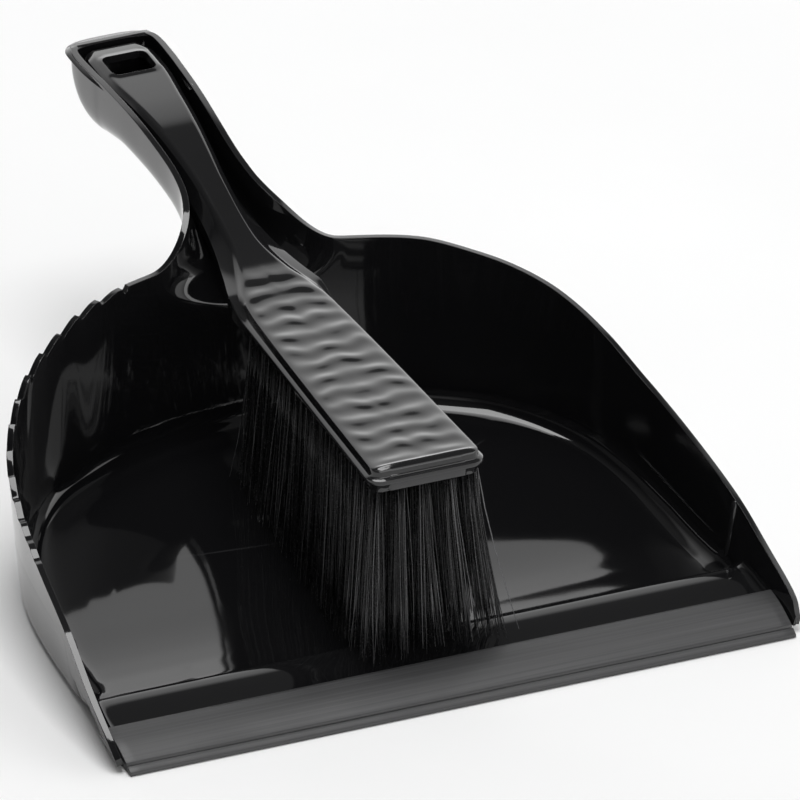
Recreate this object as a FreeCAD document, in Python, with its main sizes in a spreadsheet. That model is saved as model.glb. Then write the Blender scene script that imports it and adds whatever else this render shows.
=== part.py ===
"""Dust pan and brush set: pan with a trough handle, rubber lip, nesting hand brush.

Frame: millimetres, +Z up, +X across the pan, +Y from the lip towards the handle.
The origin is at the middle of the footprint, on the floor that the set stands on.
"""
import FreeCAD
import Part
import math
import os

VEC = FreeCAD.Vector

DIMENSIONS = {
    # overall
    "set_length": 298.0,
    "pan_wall": 2.2,
    "pan_floor": 2.4,
    "tub_height": 85.0,
    "outer_foot_radius": 4.0,
    "inner_foot_radius": 8.0,
    "foot_ring": 5.5,
    "flat_climb_points": 2,
    # rubber lip and the tongue that it grips
    "lip_width": 230.0,
    "lip_rear_height": 7.1,
    "lip_front_height": 2.9,
    "lip_rear_depth": 20.9,
    "lip_step_depth": 3.2,
    "lip_wiper": 1.1,
    "tongue_width": 229.0,
    "tongue_low": 2.0,
    "tongue_high": 3.8,
    "tongue_depth": 11.0,
    # dust sill behind the lip
    "sill_back": -111.6,
    "sill_high": 7.4,
    "sill_front_high": 5.0,
    # comb along the left rim
    "comb_count": 13,
    "comb_pitch": 10.0,
    "comb_notch": 2.4,
    # handle end
    "trough_wall": 2.0,
    "flange_half": 17.0,
    "flange_thick": 2.0,
    "rim_end_height": 96.5,
    # brush
    "head_front": -120.5,
    "head_low": 65.0,
    "head_corner": 4.0,
    "shell_wall": 2.4,
    "hang_width": 15.5,
    "hang_length": 12.5,
    "hang_place": 127.4,
    "hang_corner": 2.6,
    # bristle tufts
    "tuft_rows": 20,
    "tuft_columns": 5,
    "tuft_radius": 2.2,
    "tuft_tip_radius": 2.6,
    "tuft_front_row": -115.5,
    "tuft_pitch": 5.65,
    "tuft_margin": 3.8,
    "tuft_seat": 4.4,
    "hole_depth": 6.2,
    "tip_clearance": 0.6,
    "front_splay": 8.0,
    "back_splay": 3.0,
    "side_splay": 0.3,
    # wire anchors
    "anchor_width": 3.2,
    "anchor_thick": 0.5,
}

# Half outlines of the tub, from the front corner round to the middle of the back.
TUB_FOOT = ((117.6, -149), (114.6, -122), (112.4, -98), (110.0, -66), (106.5, -42), (100.5, -22),
            (91.5, -5.5), (79.5, 7.5), (64.5, 17), (46, 25.5), (24, 30.5), (0, 31.8))
TUB_TOP = ((146, -149), (134.5, -122), (125.5, -98), (118, -66), (113.5, -42), (107.5, -20),
           (96.5, -3.8), (83, 8.8), (66.8, 19), (47.8, 28.2), (25, 33.2), (0, 34.4))

# Height of the rim along the set: (y, z).
RIM = ((-145, 2.5), (-139.5, 8.3), (-121.7, 17), (-99, 26.4), (-69, 34.2), (-40, 41.6), (-22, 48.8),
       (-4.3, 59), (11.5, 67.1), (21, 71.6), (29, 72.9), (32.5, 78), (38.6, 83.6), (48, 87.3),
       (64.5, 91), (103, 96))

# How far the floor of the tub climbs towards the back: (y, rise).
FLOOR_CLIMB = ((-92, 0.0), (-84, 0.3), (-77, 0.75), (-62, 2.1), (-20, 6.1), (36, 11.4))

# Trough handle, outer skin: (y, half width, lowest z, z of full width, roundness).
TROUGH = ((20, 31, 47, 71, 1.6), (31, 27, 51.3, 72, 1.6), (38.6, 19.2, 58.5, 75, 1.7),
          (46, 15.0, 64.5, 77, 1.9), (55, 13.0, 69.5, 80, 2.1), (66, 12.4, 72.6, 83, 2.5),
          (85, 13.0, 75.4, 86, 2.8), (103, 14.0, 76.0, 87, 2.7), (119, 14.8, 74.0, 86.5, 2.9),
          (129, 15.2, 73.0, 86, 3.1), (136, 15.4, 75.5, 86.5, 3.3), (140.6, 15.3, 80.5, 89, 3.3),
          (144.2, 14.8, 87.5, 93, 3.2))

# Brush shell: (y, widest half, z there, top half, z of top, z of bottom).
# The head runs straight between the first two stations, and the handle curves after that.
BRUSH = ((-124, 20.6, 73.0, 19.4, 73.8, 65), (-13, 16.7, 73.0, 15.2, 73.8, 65),
         (3, 16.3, 73.4, 13.5, 74.4, 65.4), (17.6, 13.2, 74.3, 9.0, 75.8, 67), (33, 10.0, 76.2, 5.7, 78.8, 69.6),
         (45, 8.5, 78.3, 5.3, 82.2, 72.4), (58.7, 7.7, 80.5, 5.5, 86.4, 75.6),
         (75, 8.6, 83.2, 6.7, 90.6, 79.6), (88, 9.6, 84.8, 7.9, 93.0, 81.2),
         (103, 10.8, 85.8, 9.3, 94.4, 82.0), (124, 12.1, 86.4, 11.2, 95.2, 82.4),
         (134, 12.0, 87.2, 11.1, 95.4, 83.6), (140.7, 10.2, 92.2, 9.2, 95.0, 91.0))


# ---------------------------------------------------------------- document

doc = FreeCAD.newDocument("DustPanAndBrushSet")
sheet = doc.addObject("Spreadsheet::Sheet", "Dimensions")


def fill_sheet():
    """Write the driving dimensions, one per row, each with its alias."""
    for row, (name, value) in enumerate(DIMENSIONS.items(), start=1):
        sheet.set(f"A{row}", name)
        sheet.set(f"B{row}", str(value))
        sheet.setAlias(f"B{row}", name)
    doc.recompute()


def dim(name):
    """Current value of a driving dimension."""
    return float(sheet.get(name))


def place_feature(label, shape):
    """Free-form sub-part: the shape first, then its placement."""
    feature = doc.addObject("Part::Feature", label)
    feature.Label = label
    feature.Shape = shape
    feature.Placement = FreeCAD.Placement()
    return feature


def spline(points):
    """Smooth edge through the points."""
    curve = Part.BSplineCurve()
    curve.interpolate(points)
    return curve


def side_prism(wire, half_width):
    """Solid that carries a closed side outline across the set."""
    face = Part.Face(wire)
    face.translate(VEC(-half_width, 0, 0))
    return face.extrude(VEC(2 * half_width, 0, 0))


# ---------------------------------------------------------------- pan

def mirrored(half):
    """Whole outline from a half outline that ends on the middle line."""
    return list(half) + [(-x, y) for x, y in reversed(half[:-1])]


def inset(points, distance):
    """Outline moved inwards by the wall thickness."""
    moved = []
    last = len(points) - 1
    for index, (x, y) in enumerate(points):
        before = points[max(index - 1, 0)]
        after = points[min(index + 1, last)]
        run_x = after[0] - before[0]
        run_y = after[1] - before[1]
        length = math.hypot(run_x, run_y)
        moved.append((x - run_y / length * distance, y + run_x / length * distance))
    return moved


def blended(low, high, share):
    """Outline a share of the way up from the foot to the top."""
    return [(a[0] + (b[0] - a[0]) * share, a[1] + (b[1] - a[1]) * share) for a, b in zip(low, high)]


def outline_wire(points, height):
    """Closed outline at a height: a spline round the back and a straight front."""
    corners = [VEC(x, y, height) for x, y in points]
    front = Part.makeLine(corners[-1], corners[0])
    return Part.Wire([spline(corners).toShape(), front])


def filleted_foot(solid, radius, height):
    """Round the long curved edge where the wall meets the floor."""
    edges = []
    for edge in solid.Edges:
        box = edge.BoundBox
        level = abs(box.ZMin - height) < 0.01 and abs(box.ZMax - height) < 0.01
        if level and box.YLength > 50:
            edges.append(edge)
    return solid.makeFillet(radius, edges)


def tub_outside():
    """Outer skin of the tub as a solid, closed at the front."""
    foot = outline_wire(mirrored(TUB_FOOT), 0)
    top = outline_wire(mirrored(TUB_TOP), dim("tub_height"))
    solid = Part.makeLoft([foot, top], True, True)
    return filleted_foot(solid, dim("outer_foot_radius"), 0)


def tub_cavity():
    """Hollow of the tub, run out past the front and the top."""
    wall = dim("pan_wall")
    floor = dim("pan_floor")
    height = dim("tub_height")
    over = 1.1
    low = inset(mirrored(TUB_FOOT), wall)
    high = inset(mirrored(TUB_TOP), wall)
    outlines = []
    for share, level in ((floor / height, floor), (over, over * height)):
        points = blended(low, high, share)
        run_out = 8.0
        points[0] = (points[0][0] + 0.12 * run_out, points[0][1] - run_out)
        points[-1] = (points[-1][0] - 0.12 * run_out, points[-1][1] - run_out)
        outlines.append(outline_wire(points, level))
    solid = Part.makeLoft(outlines, True, True)
    return filleted_foot(solid, dim("inner_foot_radius"), floor)


def climb(lift):
    """Corners of the climbing floor seen from the side, lifted by a height."""
    return [VEC(0, place, rise + lift) for place, rise in FLOOR_CLIMB]


def rise_at(place):
    """Rise of the climbing floor at a place along the set."""
    last = FLOOR_CLIMB[0]
    for knot in FLOOR_CLIMB[1:]:
        if place < knot[0]:
            share = max(place - last[0], 0.0) / (knot[0] - last[0])
            return last[1] + (knot[1] - last[1]) * share
        last = knot
    return last[1]


def raised_floor():
    """Floor that climbs towards the back of the tub, down to its foot."""
    top = climb(dim("pan_floor"))
    corners = [VEC(0, top[0].y, 0)] + top + [VEC(0, top[-1].y, 0)]
    wire = Part.makePolygon(corners + [corners[0]])
    return side_prism(wire, dim("lip_width")).common(tub_outside())


def under_floor():
    """Open space under the climbing floor, inside the foot that the tub stands on."""
    low = -2.0
    ceiling = climb(0.0)[int(dim("flat_climb_points")):]
    corners = [VEC(0, ceiling[0].y, low)] + ceiling + [VEC(0, ceiling[-1].y, low)]
    wire = Part.makePolygon(corners + [corners[0]])
    plan = outline_wire(inset(mirrored(TUB_FOOT), dim("foot_ring")), low)
    column = Part.Face(plan).extrude(VEC(0, 0, dim("tub_height")))
    return side_prism(wire, dim("lip_width")).common(column)


def trough_section(station, wall, top):
    """Closed cross-section of the handle: a rounded U with upright sides."""
    place, half, low, side, roundness = station
    half = half - wall
    low = low + wall
    draft = 0.02
    upright = [side + (top - side) * share for share in (1.0, 0.7, 0.4, 0.15)]
    points = [VEC(-half - draft * (z - side), place, z) for z in upright]
    steps = 12
    for index in range(steps + 1):
        across = -math.cos(math.pi * index / steps)
        drop = (1 - abs(across) ** roundness) ** (1 / roundness)
        points.append(VEC(half * across, place, side - (side - low) * drop))
    points += [VEC(half + draft * (z - side), place, z) for z in reversed(upright)]
    lid = Part.makeLine(points[-1], points[0])
    return Part.Wire([spline(points).toShape(), lid])


def trough(wall, top, end_shift):
    """Solid through every cross-section of the handle, set in by a wall thickness."""
    sections = []
    for station in TROUGH:
        moved = (station[0] - end_shift * (station[0] > 120),) + station[1:]
        sections.append(trough_section(moved, wall, top))
    return Part.makeLoft(sections, True, False)


def end_flange():
    """Flat flange round the open end of the handle."""
    half = dim("flange_half")
    high = dim("rim_end_height")
    thick = dim("flange_thick")
    end = dim("set_length") / 2
    low = high - thick
    start = 115.0
    left = VEC(-half, start, low)
    right = VEC(half, start, low)
    left_bend = VEC(-half, 139.5, low)
    right_bend = VEC(half, 139.5, low)
    edges = [Part.makeLine(left_bend, left), Part.makeLine(left, right), Part.makeLine(right, right_bend)]
    edges.append(spline([right_bend, VEC(14.2, 145.6, low), VEC(0, end, low), VEC(-14.2, 145.6, low),
                         left_bend]).toShape())
    return Part.Face(Part.Wire(edges)).extrude(VEC(0, 0, thick))


def rim_curve():
    """Side view of the rim, from the front corner to the end of the handle."""
    end = dim("set_length") / 2
    level = dim("rim_end_height")
    points = [VEC(0, y, z) for y, z in RIM]
    return spline(points + [VEC(0, 120, level), VEC(0, end + 2, level)])


def below_rim():
    """Everything under the rim, as seen from the side."""
    curve = rim_curve()
    start = curve.value(curve.FirstParameter)
    end = curve.value(curve.LastParameter)
    low = -5.0
    corner_a = VEC(0, end.y, low)
    corner_b = VEC(0, start.y, low)
    edges = [curve.toShape(), Part.makeLine(end, corner_a), Part.makeLine(corner_a, corner_b)]
    edges.append(Part.makeLine(corner_b, start))
    return side_prism(Part.Wire(edges), 200)


def sill():
    """Dust sill: a rounded ridge across the pan, with a ramp down to the lip."""
    ridge = dim("sill_back")
    high = dim("sill_high")
    seat = -dim("set_length") / 2 + dim("lip_rear_depth")
    front_high = dim("sill_front_high")
    floor = dim("pan_floor")
    back = ridge + 7.0
    hump = spline([VEC(0, back, floor), VEC(0, ridge + 3.0, high - 1.6), VEC(0, ridge, high),
                   VEC(0, ridge - 4.0, high - 0.3), VEC(0, seat, front_high)])
    foot = 0.5
    low_front = VEC(0, seat, foot)
    low_back = VEC(0, back, foot)
    edges = [hump.toShape(), Part.makeLine(VEC(0, seat, front_high), low_front)]
    edges.append(Part.makeLine(low_front, low_back))
    edges.append(Part.makeLine(low_back, VEC(0, back, floor)))
    return side_prism(Part.Wire(edges), 130)


def under_sill():
    """Space under the sill and the lip seat, where the sheet rises off the floor."""
    ridge = dim("sill_back")
    high = dim("sill_high") - dim("pan_floor")
    low = dim("tongue_low")
    seat = -dim("set_length") / 2 + dim("lip_rear_depth")
    far = -dim("set_length") / 2 - 10
    below = -2.0
    start = ridge + 6.0
    roof = spline([VEC(0, start, -0.1), VEC(0, ridge + 3.6, 1.9), VEC(0, ridge + 1.0, high - 0.6),
                   VEC(0, ridge - 2.0, high - 0.1), VEC(0, seat + 2.0, low)])
    front = VEC(0, far, low)
    front_low = VEC(0, far, below)
    back_low = VEC(0, start, below)
    edges = [roof.toShape(), Part.makeLine(VEC(0, seat + 2.0, low), front)]
    edges.append(Part.makeLine(front, front_low))
    edges.append(Part.makeLine(front_low, back_low))
    edges.append(Part.makeLine(back_low, VEC(0, start, -0.1)))
    return side_prism(Part.Wire(edges), 130)


def lip_seat():
    """Room for the rubber lip between the two front corners, round the tongue."""
    front = -dim("set_length") / 2
    seat = front + dim("lip_rear_depth")
    half = dim("lip_width") / 2
    room = Part.makeBox(2 * half, seat - front + 10, 20, VEC(-half, front - 10, -2))
    return room


def tongue():
    """Thin front edge of the floor that the rubber lip grips."""
    front = -dim("set_length") / 2
    seat = front + dim("lip_rear_depth")
    width = dim("tongue_width")
    depth = dim("tongue_depth")
    low = dim("tongue_low")
    thick = dim("tongue_high") - low
    return Part.makeBox(width, depth, thick, VEC(-width / 2, seat - depth + 1.0, low))


def height_on(curve, place):
    """Height of the rim at a place along the set, by bisection."""
    low = curve.FirstParameter
    high = curve.LastParameter
    for _ in range(40):
        middle = (low + high) / 2
        if curve.value(middle).y < place:
            low = middle
        else:
            high = middle
    return curve.value(low).z


def comb_cutters():
    """Saw-tooth notches along the left rim, which comb dust out of the bristles."""
    foot = spline([VEC(-x, y, 0) for x, y in reversed(TUB_FOOT)])
    top = spline([VEC(-x, y, 0) for x, y in reversed(TUB_TOP)])
    rim = rim_curve()
    samples = []
    for index in range(401):
        share = index / 400
        low = foot.value(foot.FirstParameter + share * (foot.LastParameter - foot.FirstParameter))
        high = top.value(top.FirstParameter + share * (top.LastParameter - top.FirstParameter))
        z = height_on(rim, low.y)
        point = low + (high - low) * (z / dim("tub_height"))
        samples.append(VEC(point.x, point.y, height_on(rim, point.y)))
    travelled = 0.0
    start_x = -42.0
    marks = []
    pitch = dim("comb_pitch")
    for before, after in zip(samples, samples[1:]):
        if after.x > start_x:
            continue
        travelled += (after - before).Length
        if travelled >= pitch * len(marks) and len(marks) < dim("comb_count"):
            marks.append((after, (after - before).normalize()))
    notch = dim("comb_notch")
    cutters = []
    for point, along in marks:
        across = VEC(along.y, -along.x, 0).normalize()
        up = across.cross(along).normalize()
        if up.z < 0:
            up = up * -1
        tooth = [(0.0, 1.2), (0.6, -notch), (1.6, -notch), (pitch - 1.2, 0.2), (pitch - 1.6, 1.2)]
        corners = [point - along * s + up * rise - across * 8 for s, rise in tooth]
        face = Part.Face(Part.makePolygon(corners + [corners[0]]))
        cutters.append(face.extrude(across * 16))
    return cutters


def make_pan():
    """Pan moulding: tub, sill, tongue and trough handle in one piece."""
    clear_top = dim("rim_end_height") + 14
    handle = trough(0.0, clear_top, 0.0).common(Part.makeBox(80, 130, 120, VEC(-40, 30.5, 0)))
    hollow = trough(dim("trough_wall"), clear_top + 10, dim("trough_wall"))
    body = tub_outside().fuse(handle)
    body = body.common(below_rim())
    body = body.fuse(end_flange())
    body = body.cut(tub_cavity())
    body = body.cut(hollow)
    body = body.fuse(sill().common(tub_outside()))
    body = body.fuse(raised_floor())
    body = body.cut(under_sill())
    body = body.cut(under_floor())
    body = body.cut(lip_seat())
    body = body.fuse(tongue())
    for cutter in comb_cutters():
        body = body.cut(cutter)
    body = body.removeSplitter()
    return place_feature("pan_body", body.Solids[0] if len(body.Solids) == 1 else body)


# ---------------------------------------------------------------- rubber lip

def body_plane(body, role):
    """One of the body's own origin planes."""
    for feature in body.Origin.OriginFeatures:
        if feature.Role == role:
            return feature
    raise ValueError(role)


def make_lip():
    """Rubber lip: an extruded profile that grips the tongue, with a thin wiper edge."""
    body = doc.addObject("PartDesign::Body", "rubber_lip")
    body.Label = "rubber_lip"
    sketch = body.newObject("Sketcher::SketchObject", "lip_profile")
    sketch.AttachmentSupport = [(body_plane(body, "YZ_Plane"), "")]
    sketch.MapMode = "FlatFace"
    front = -dim("set_length") / 2
    step = front + dim("lip_step_depth")
    rear = front + dim("lip_rear_depth")
    slot_end = rear + 1.0 - dim("tongue_depth")
    wiper = dim("lip_wiper")
    high = dim("lip_rear_height")
    step_high = dim("lip_front_height")
    slot_low = dim("tongue_low")
    slot_high = dim("tongue_high")
    crown = VEC((step + rear) / 2, (step_high + high) / 2 + 0.9, 0)
    corners = [VEC(front, 0, 0), VEC(rear, 0, 0), VEC(rear, slot_low, 0), VEC(slot_end, slot_low, 0),
               VEC(slot_end, slot_high, 0), VEC(rear, slot_high, 0), VEC(rear, high, 0)]
    lines = []
    for begin, end in zip(corners, corners[1:]):
        lines.append(Part.LineSegment(begin, end))
    lines.append(Part.Arc(VEC(rear, high, 0), crown, VEC(step, step_high, 0)))
    lines.append(Part.LineSegment(VEC(step, step_high, 0), VEC(step, wiper, 0)))
    lines.append(Part.LineSegment(VEC(step, wiper, 0), VEC(front, wiper, 0)))
    lines.append(Part.LineSegment(VEC(front, wiper, 0), VEC(front, 0, 0)))
    sketch.addGeometry(lines, False)
    doc.recompute()
    pad = body.newObject("PartDesign::Pad", "lip_run")
    pad.Profile = sketch
    pad.Midplane = True
    pad.setExpression("Length", "Dimensions.lip_width")
    return body


# ---------------------------------------------------------------- brush

def brush_section(station, wall):
    """Closed cross-section of the brush: block, bead along the edge, sloped shoulders, flat top."""
    place, wide, wide_z, flat, flat_z, bottom = station
    bead_low = wide_z - 0.32 * (wide_z - bottom)
    bead = min(0.8, 0.4 * (wide_z - bead_low))
    if wall > 0:
        base = bottom - 4.0
        half = [(wide - bead - wall, base), (wide - bead - wall, bead_low), (flat - wall * 0.7, flat_z - wall)]
    else:
        half = [(wide - bead, bottom), (wide - bead, bead_low), (wide, bead_low + bead), (wide, wide_z),
                (flat, flat_z)]
    corners = [VEC(x, place, z) for x, z in half]
    corners += [VEC(-x, place, z) for x, z in reversed(half)]
    return Part.makePolygon(corners + [corners[0]])


def brush_plan():
    """Plan view of the brush with rounded front corners, as a tall prism."""
    front = dim("head_front")
    corner = dim("head_corner")
    half = 20.5
    back = 145.0
    swing = corner * (1 - math.sqrt(0.5))
    left = VEC(-half, front + corner, 0)
    left_mid = VEC(-half + swing, front + swing, 0)
    left_end = VEC(-half + corner, front, 0)
    right_end = VEC(half - corner, front, 0)
    right_mid = VEC(half - swing, front + swing, 0)
    right = VEC(half, front + corner, 0)
    edges = [Part.Arc(left, left_mid, left_end).toShape(), Part.makeLine(left_end, right_end)]
    edges.append(Part.Arc(right_end, right_mid, right).toShape())
    edges.append(Part.makeLine(right, VEC(half, back, 0)))
    edges.append(Part.makeLine(VEC(half, back, 0), VEC(-half, back, 0)))
    edges.append(Part.makeLine(VEC(-half, back, 0), left))
    return Part.Face(Part.Wire(edges)).extrude(VEC(0, 0, 120))


def hang_hole():
    """Rounded rectangular hanging hole through the top of the brush handle."""
    width = dim("hang_width")
    length = dim("hang_length")
    place = dim("hang_place")
    block = Part.makeBox(width, length, 12, VEC(-width / 2, place - length / 2, 88))
    edges = [edge for edge in block.Edges if edge.BoundBox.ZLength > 10]
    return block.makeFillet(dim("hang_corner"), edges)


def half_width_of_head(place):
    """Widest half width of the head at a place along it."""
    (front_y, front_half) = BRUSH[0][0], BRUSH[0][1]
    (back_y, back_half) = BRUSH[1][0], BRUSH[1][1]
    share = (place - front_y) / (back_y - front_y)
    return front_half + (back_half - front_half) * share


def brush_stations():
    """Every cross-section of the brush, with the straight head divided evenly."""
    front, back = BRUSH[0], BRUSH[1]
    parts = 8
    stations = []
    for index in range(parts):
        share = index / parts
        stations.append(tuple(a + (b - a) * share for a, b in zip(front, back)))
    return stations + list(BRUSH[1:])


def tuft_roots(row):
    """Middles of the holes of one row of tufts."""
    place = dim("tuft_front_row") + row * dim("tuft_pitch")
    columns = int(dim("tuft_columns"))
    reach = half_width_of_head(place) - dim("tuft_margin")
    middle = (columns - 1) / 2
    return [(reach * (column - middle) / middle, place) for column in range(columns)]


def make_brush():
    """Brush moulding: bristle head and hollow handle in one piece, drilled for the tufts."""
    skin = Part.makeLoft([brush_section(station, 0.0) for station in brush_stations()], True, False)
    hollow = [station for station in BRUSH if 10 < station[0] < 138]
    inside = Part.makeLoft([brush_section(station, dim("shell_wall")) for station in hollow], True, False)
    shape = skin.common(brush_plan()).cut(inside).cut(hang_hole())
    low = dim("head_low")
    depth = dim("hole_depth")
    drills = []
    for row in range(int(dim("tuft_rows"))):
        for x, y in tuft_roots(row):
            drills.append(Part.makeCylinder(dim("tuft_radius"), depth + 1, VEC(x, y, low - 1)))
    shape = shape.cut(Part.makeCompound(drills)).removeSplitter()
    return place_feature("brush_body", shape.Solids[0] if len(shape.Solids) == 1 else shape)


# ---------------------------------------------------------------- tufts

def ground_under(place):
    """Height of the pan, sill or lip under a bristle tip."""
    seat = -dim("set_length") / 2 + dim("lip_rear_depth")
    ridge = dim("sill_back")
    if place < seat + 3:
        return dim("lip_rear_height")
    if place < ridge + 5:
        return dim("sill_high")
    if place < ridge + 10:
        return dim("sill_front_high")
    return dim("pan_floor") + rise_at(place + dim("tuft_tip_radius"))


def tuft_tip(row, root):
    """Place of a tuft's tip: the front rows lean forwards, the back rows backwards."""
    share = row / (dim("tuft_rows") - 1)
    ahead = (1 - share) ** 2
    x, y = root
    tip_y = y - dim("front_splay") * ahead + dim("back_splay") * share ** 2
    tip_x = x * (1 + dim("side_splay") * (0.35 + 0.65 * ahead))
    return tip_x, tip_y, ground_under(tip_y) + dim("tip_clearance")


def ring(name, place, radius):
    """Circle that bounds one level of a tuft."""
    circle = doc.addObject("Part::Circle", name)
    circle.setExpression("Radius", "Dimensions." + radius)
    circle.Placement = FreeCAD.Placement(VEC(*place), FreeCAD.Rotation())
    return circle


def make_tuft_row(row):
    """One row of tufts across the head, each seated in its own hole."""
    low = dim("head_low")
    tufts = []
    for column, root in enumerate(tuft_roots(row)):
        tag = f"{row + 1:02d}_{column + 1}"
        seat = ring("seat_" + tag, (root[0], root[1], low + dim("tuft_seat")), "tuft_radius")
        mouth = ring("mouth_" + tag, (root[0], root[1], low), "tuft_radius")
        tip = ring("tip_" + tag, tuft_tip(row, root), "tuft_tip_radius")
        tuft = doc.addObject("Part::Loft", "tuft_" + tag)
        tuft.Sections = [seat, mouth, tip]
        tuft.Solid = True
        tuft.Ruled = True
        tufts.append(tuft)
    group = doc.addObject("Part::Compound", f"tuft_row_{row + 1:02d}")
    group.Links = tufts
    return group


def make_anchors():
    """Flat wire anchors, one over each tuft at the end of its hole."""
    base = dim("head_low") + dim("tuft_seat")
    anchors = []
    for row in range(int(dim("tuft_rows"))):
        for column, (x, y) in enumerate(tuft_roots(row)):
            anchor = doc.addObject("Part::Box", f"anchor_{row + 1:02d}_{column + 1}")
            anchor.setExpression("Length", "Dimensions.anchor_width")
            anchor.setExpression("Width", "Dimensions.anchor_thick")
            anchor.setExpression("Height", "Dimensions.hole_depth - Dimensions.tuft_seat")
            corner = VEC(x - dim("anchor_width") / 2, y - dim("anchor_thick") / 2, base)
            anchor.Placement = FreeCAD.Placement(corner, FreeCAD.Rotation())
            anchors.append(anchor)
    group = doc.addObject("Part::Compound", "tuft_anchors")
    group.Links = anchors
    return group


# ---------------------------------------------------------------- build and write

def check(parts):
    """Refuse to write anything if an object failed or a sub-part is not sound."""
    for thing in doc.Objects:
        if "Invalid" in thing.State or "Error" in thing.State:
            raise RuntimeError(f"{thing.Label} failed: {thing.State}")
    for part in parts:
        if part.Shape.isNull() or not part.Shape.isValid():
            raise RuntimeError(f"{part.Label} has no sound shape")


def main():
    """Build every sub-part, check them all, then write one file per node."""
    fill_sheet()
    parts = [make_pan(), make_lip(), make_brush(), make_anchors()]
    for row in range(int(dim("tuft_rows"))):
        parts.append(make_tuft_row(row))
    doc.recompute()
    check(parts)
    os.makedirs("parts", exist_ok=True)
    for part in parts:
        box = part.Shape.BoundBox
        print(part.Label, len(part.Shape.Solids), round(part.Shape.Volume),
              [round(v, 1) for v in (box.XMin, box.XMax, box.YMin, box.YMax, box.ZMin, box.ZMax)])
        part.Shape.exportStep(f"parts/{part.Label}.step")


main()
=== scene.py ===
"""Dust pan and nesting hand brush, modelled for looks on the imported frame.

Everything is in metres in the frame's own axes: +Z up, +X across the pan, +Y from the lip
towards the handle, with the origin on the floor in the middle of the footprint.
"""

import logging
import math
import random
from dataclasses import dataclass
from enum import Enum
from typing import Callable, ClassVar, Sequence

import bmesh
import bpy
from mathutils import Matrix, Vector, noise

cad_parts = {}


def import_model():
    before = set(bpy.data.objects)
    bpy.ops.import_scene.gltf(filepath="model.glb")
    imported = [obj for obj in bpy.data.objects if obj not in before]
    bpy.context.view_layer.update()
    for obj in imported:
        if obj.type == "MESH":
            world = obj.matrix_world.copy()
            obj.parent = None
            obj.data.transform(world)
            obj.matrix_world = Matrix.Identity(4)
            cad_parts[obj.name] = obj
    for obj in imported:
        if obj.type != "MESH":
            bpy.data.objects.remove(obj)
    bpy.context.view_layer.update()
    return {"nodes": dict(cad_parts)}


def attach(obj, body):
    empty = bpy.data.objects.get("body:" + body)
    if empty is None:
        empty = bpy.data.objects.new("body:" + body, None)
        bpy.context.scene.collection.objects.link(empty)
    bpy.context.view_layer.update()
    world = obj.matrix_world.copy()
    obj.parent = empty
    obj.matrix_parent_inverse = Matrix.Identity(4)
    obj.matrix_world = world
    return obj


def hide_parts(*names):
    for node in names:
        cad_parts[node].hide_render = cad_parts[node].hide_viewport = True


LOG = logging.getLogger("pan_set")
MM = 0.001

Point = tuple[float, ...]


# ---------------------------------------------------------------- curves and meshes


class Side(Enum):
    """Which half of the pan a surface belongs to."""

    LEFT = -1
    RIGHT = 1


def clamped(value: float) -> float:
    """The value, kept between 0 and 1."""
    return min(max(value, 0.0), 1.0)


def cubic_weights(t: float) -> tuple[float, float, float, float]:
    """Weights of a cubic that runs from one knot to the next.

    Args:
        t: Share of the way from the first knot to the second.

    Returns:
        Weights of the first knot, the slope there, the second knot and the slope there.
    """
    return (2 * t**3 - 3 * t**2 + 1, t**3 - 2 * t**2 + t, -2 * t**3 + 3 * t**2, t**3 - t**2)


def through(points: Sequence[Point], place: float) -> tuple[float, ...]:
    """Point on a smooth curve through the given points.

    Args:
        points: Knots, each a tuple of the same length.
        place: Position along the curve, 0 at the first knot and 1 at the last.

    Returns:
        The interpolated tuple.
    """
    spans = len(points) - 1
    scaled = clamped(place) * spans
    index = min(int(scaled), spans - 1)
    first, leaving, second, arriving = cubic_weights(scaled - index)
    before = points[max(index - 1, 0)]
    start = points[index]
    end = points[index + 1]
    after = points[min(index + 2, spans)]
    result = []
    for a, b, c, d in zip(before, start, end, after):
        slope_in = (c - a) / 2
        slope_out = (d - b) / 2
        result.append(first * b + leaving * slope_in + second * c + arriving * slope_out)
    return tuple(result)


def by_key(points: Sequence[Point], key: float) -> tuple[float, ...]:
    """Values at a key, for knots whose first entry rises: a shape-keeping cubic.

    Args:
        points: Knots as (key, value, ...), sorted by key.
        key: Where to read the values.

    Returns:
        The values without the key.
    """
    if key <= points[0][0]:
        return tuple(points[0][1:])
    if key >= points[-1][0]:
        return tuple(points[-1][1:])
    index = max(i for i, knot in enumerate(points) if knot[0] <= key)
    index = min(index, len(points) - 2)
    start, end = points[index], points[index + 1]
    gap = end[0] - start[0]
    first, leaving, second, arriving = cubic_weights((key - start[0]) / gap)
    result = []
    for column in range(1, len(start)):

        def incline(near: int) -> float:
            """Slope of the straight run from a knot to the next."""
            run = points[near + 1][0] - points[near][0]
            return (points[near + 1][column] - points[near][column]) / run

        def slope(at: int) -> float:
            """Slope at a knot, kept from overshooting.

            Args:
                at: Number of the knot.

            Returns:
                Slope of the column being read.
            """
            if at == 0:
                return incline(0)
            if at == len(points) - 1:
                return incline(at - 1)
            left, right = incline(at - 1), incline(at)
            if left * right <= 0:
                return 0.0
            return 2 * left * right / (left + right)

        low, high = start[column], end[column]
        result.append(first * low + leaving * gap * slope(index)
                      + second * high + arriving * gap * slope(index + 1))
    return tuple(result)


# The pan's floor behind the sill: (place along the set, how far the floor has climbed), in millimetres.
FLOOR_CLIMB = ((-92, 0.0), (-84, 0.3), (-77, 0.75), (-62, 2.1), (-20, 6.1), (36, 11.4))


def floor_rise(y: float) -> float:
    """How far the pan's floor has climbed at a place along the set, in millimetres."""
    return by_key(FLOOR_CLIMB, y)[0]


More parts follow.
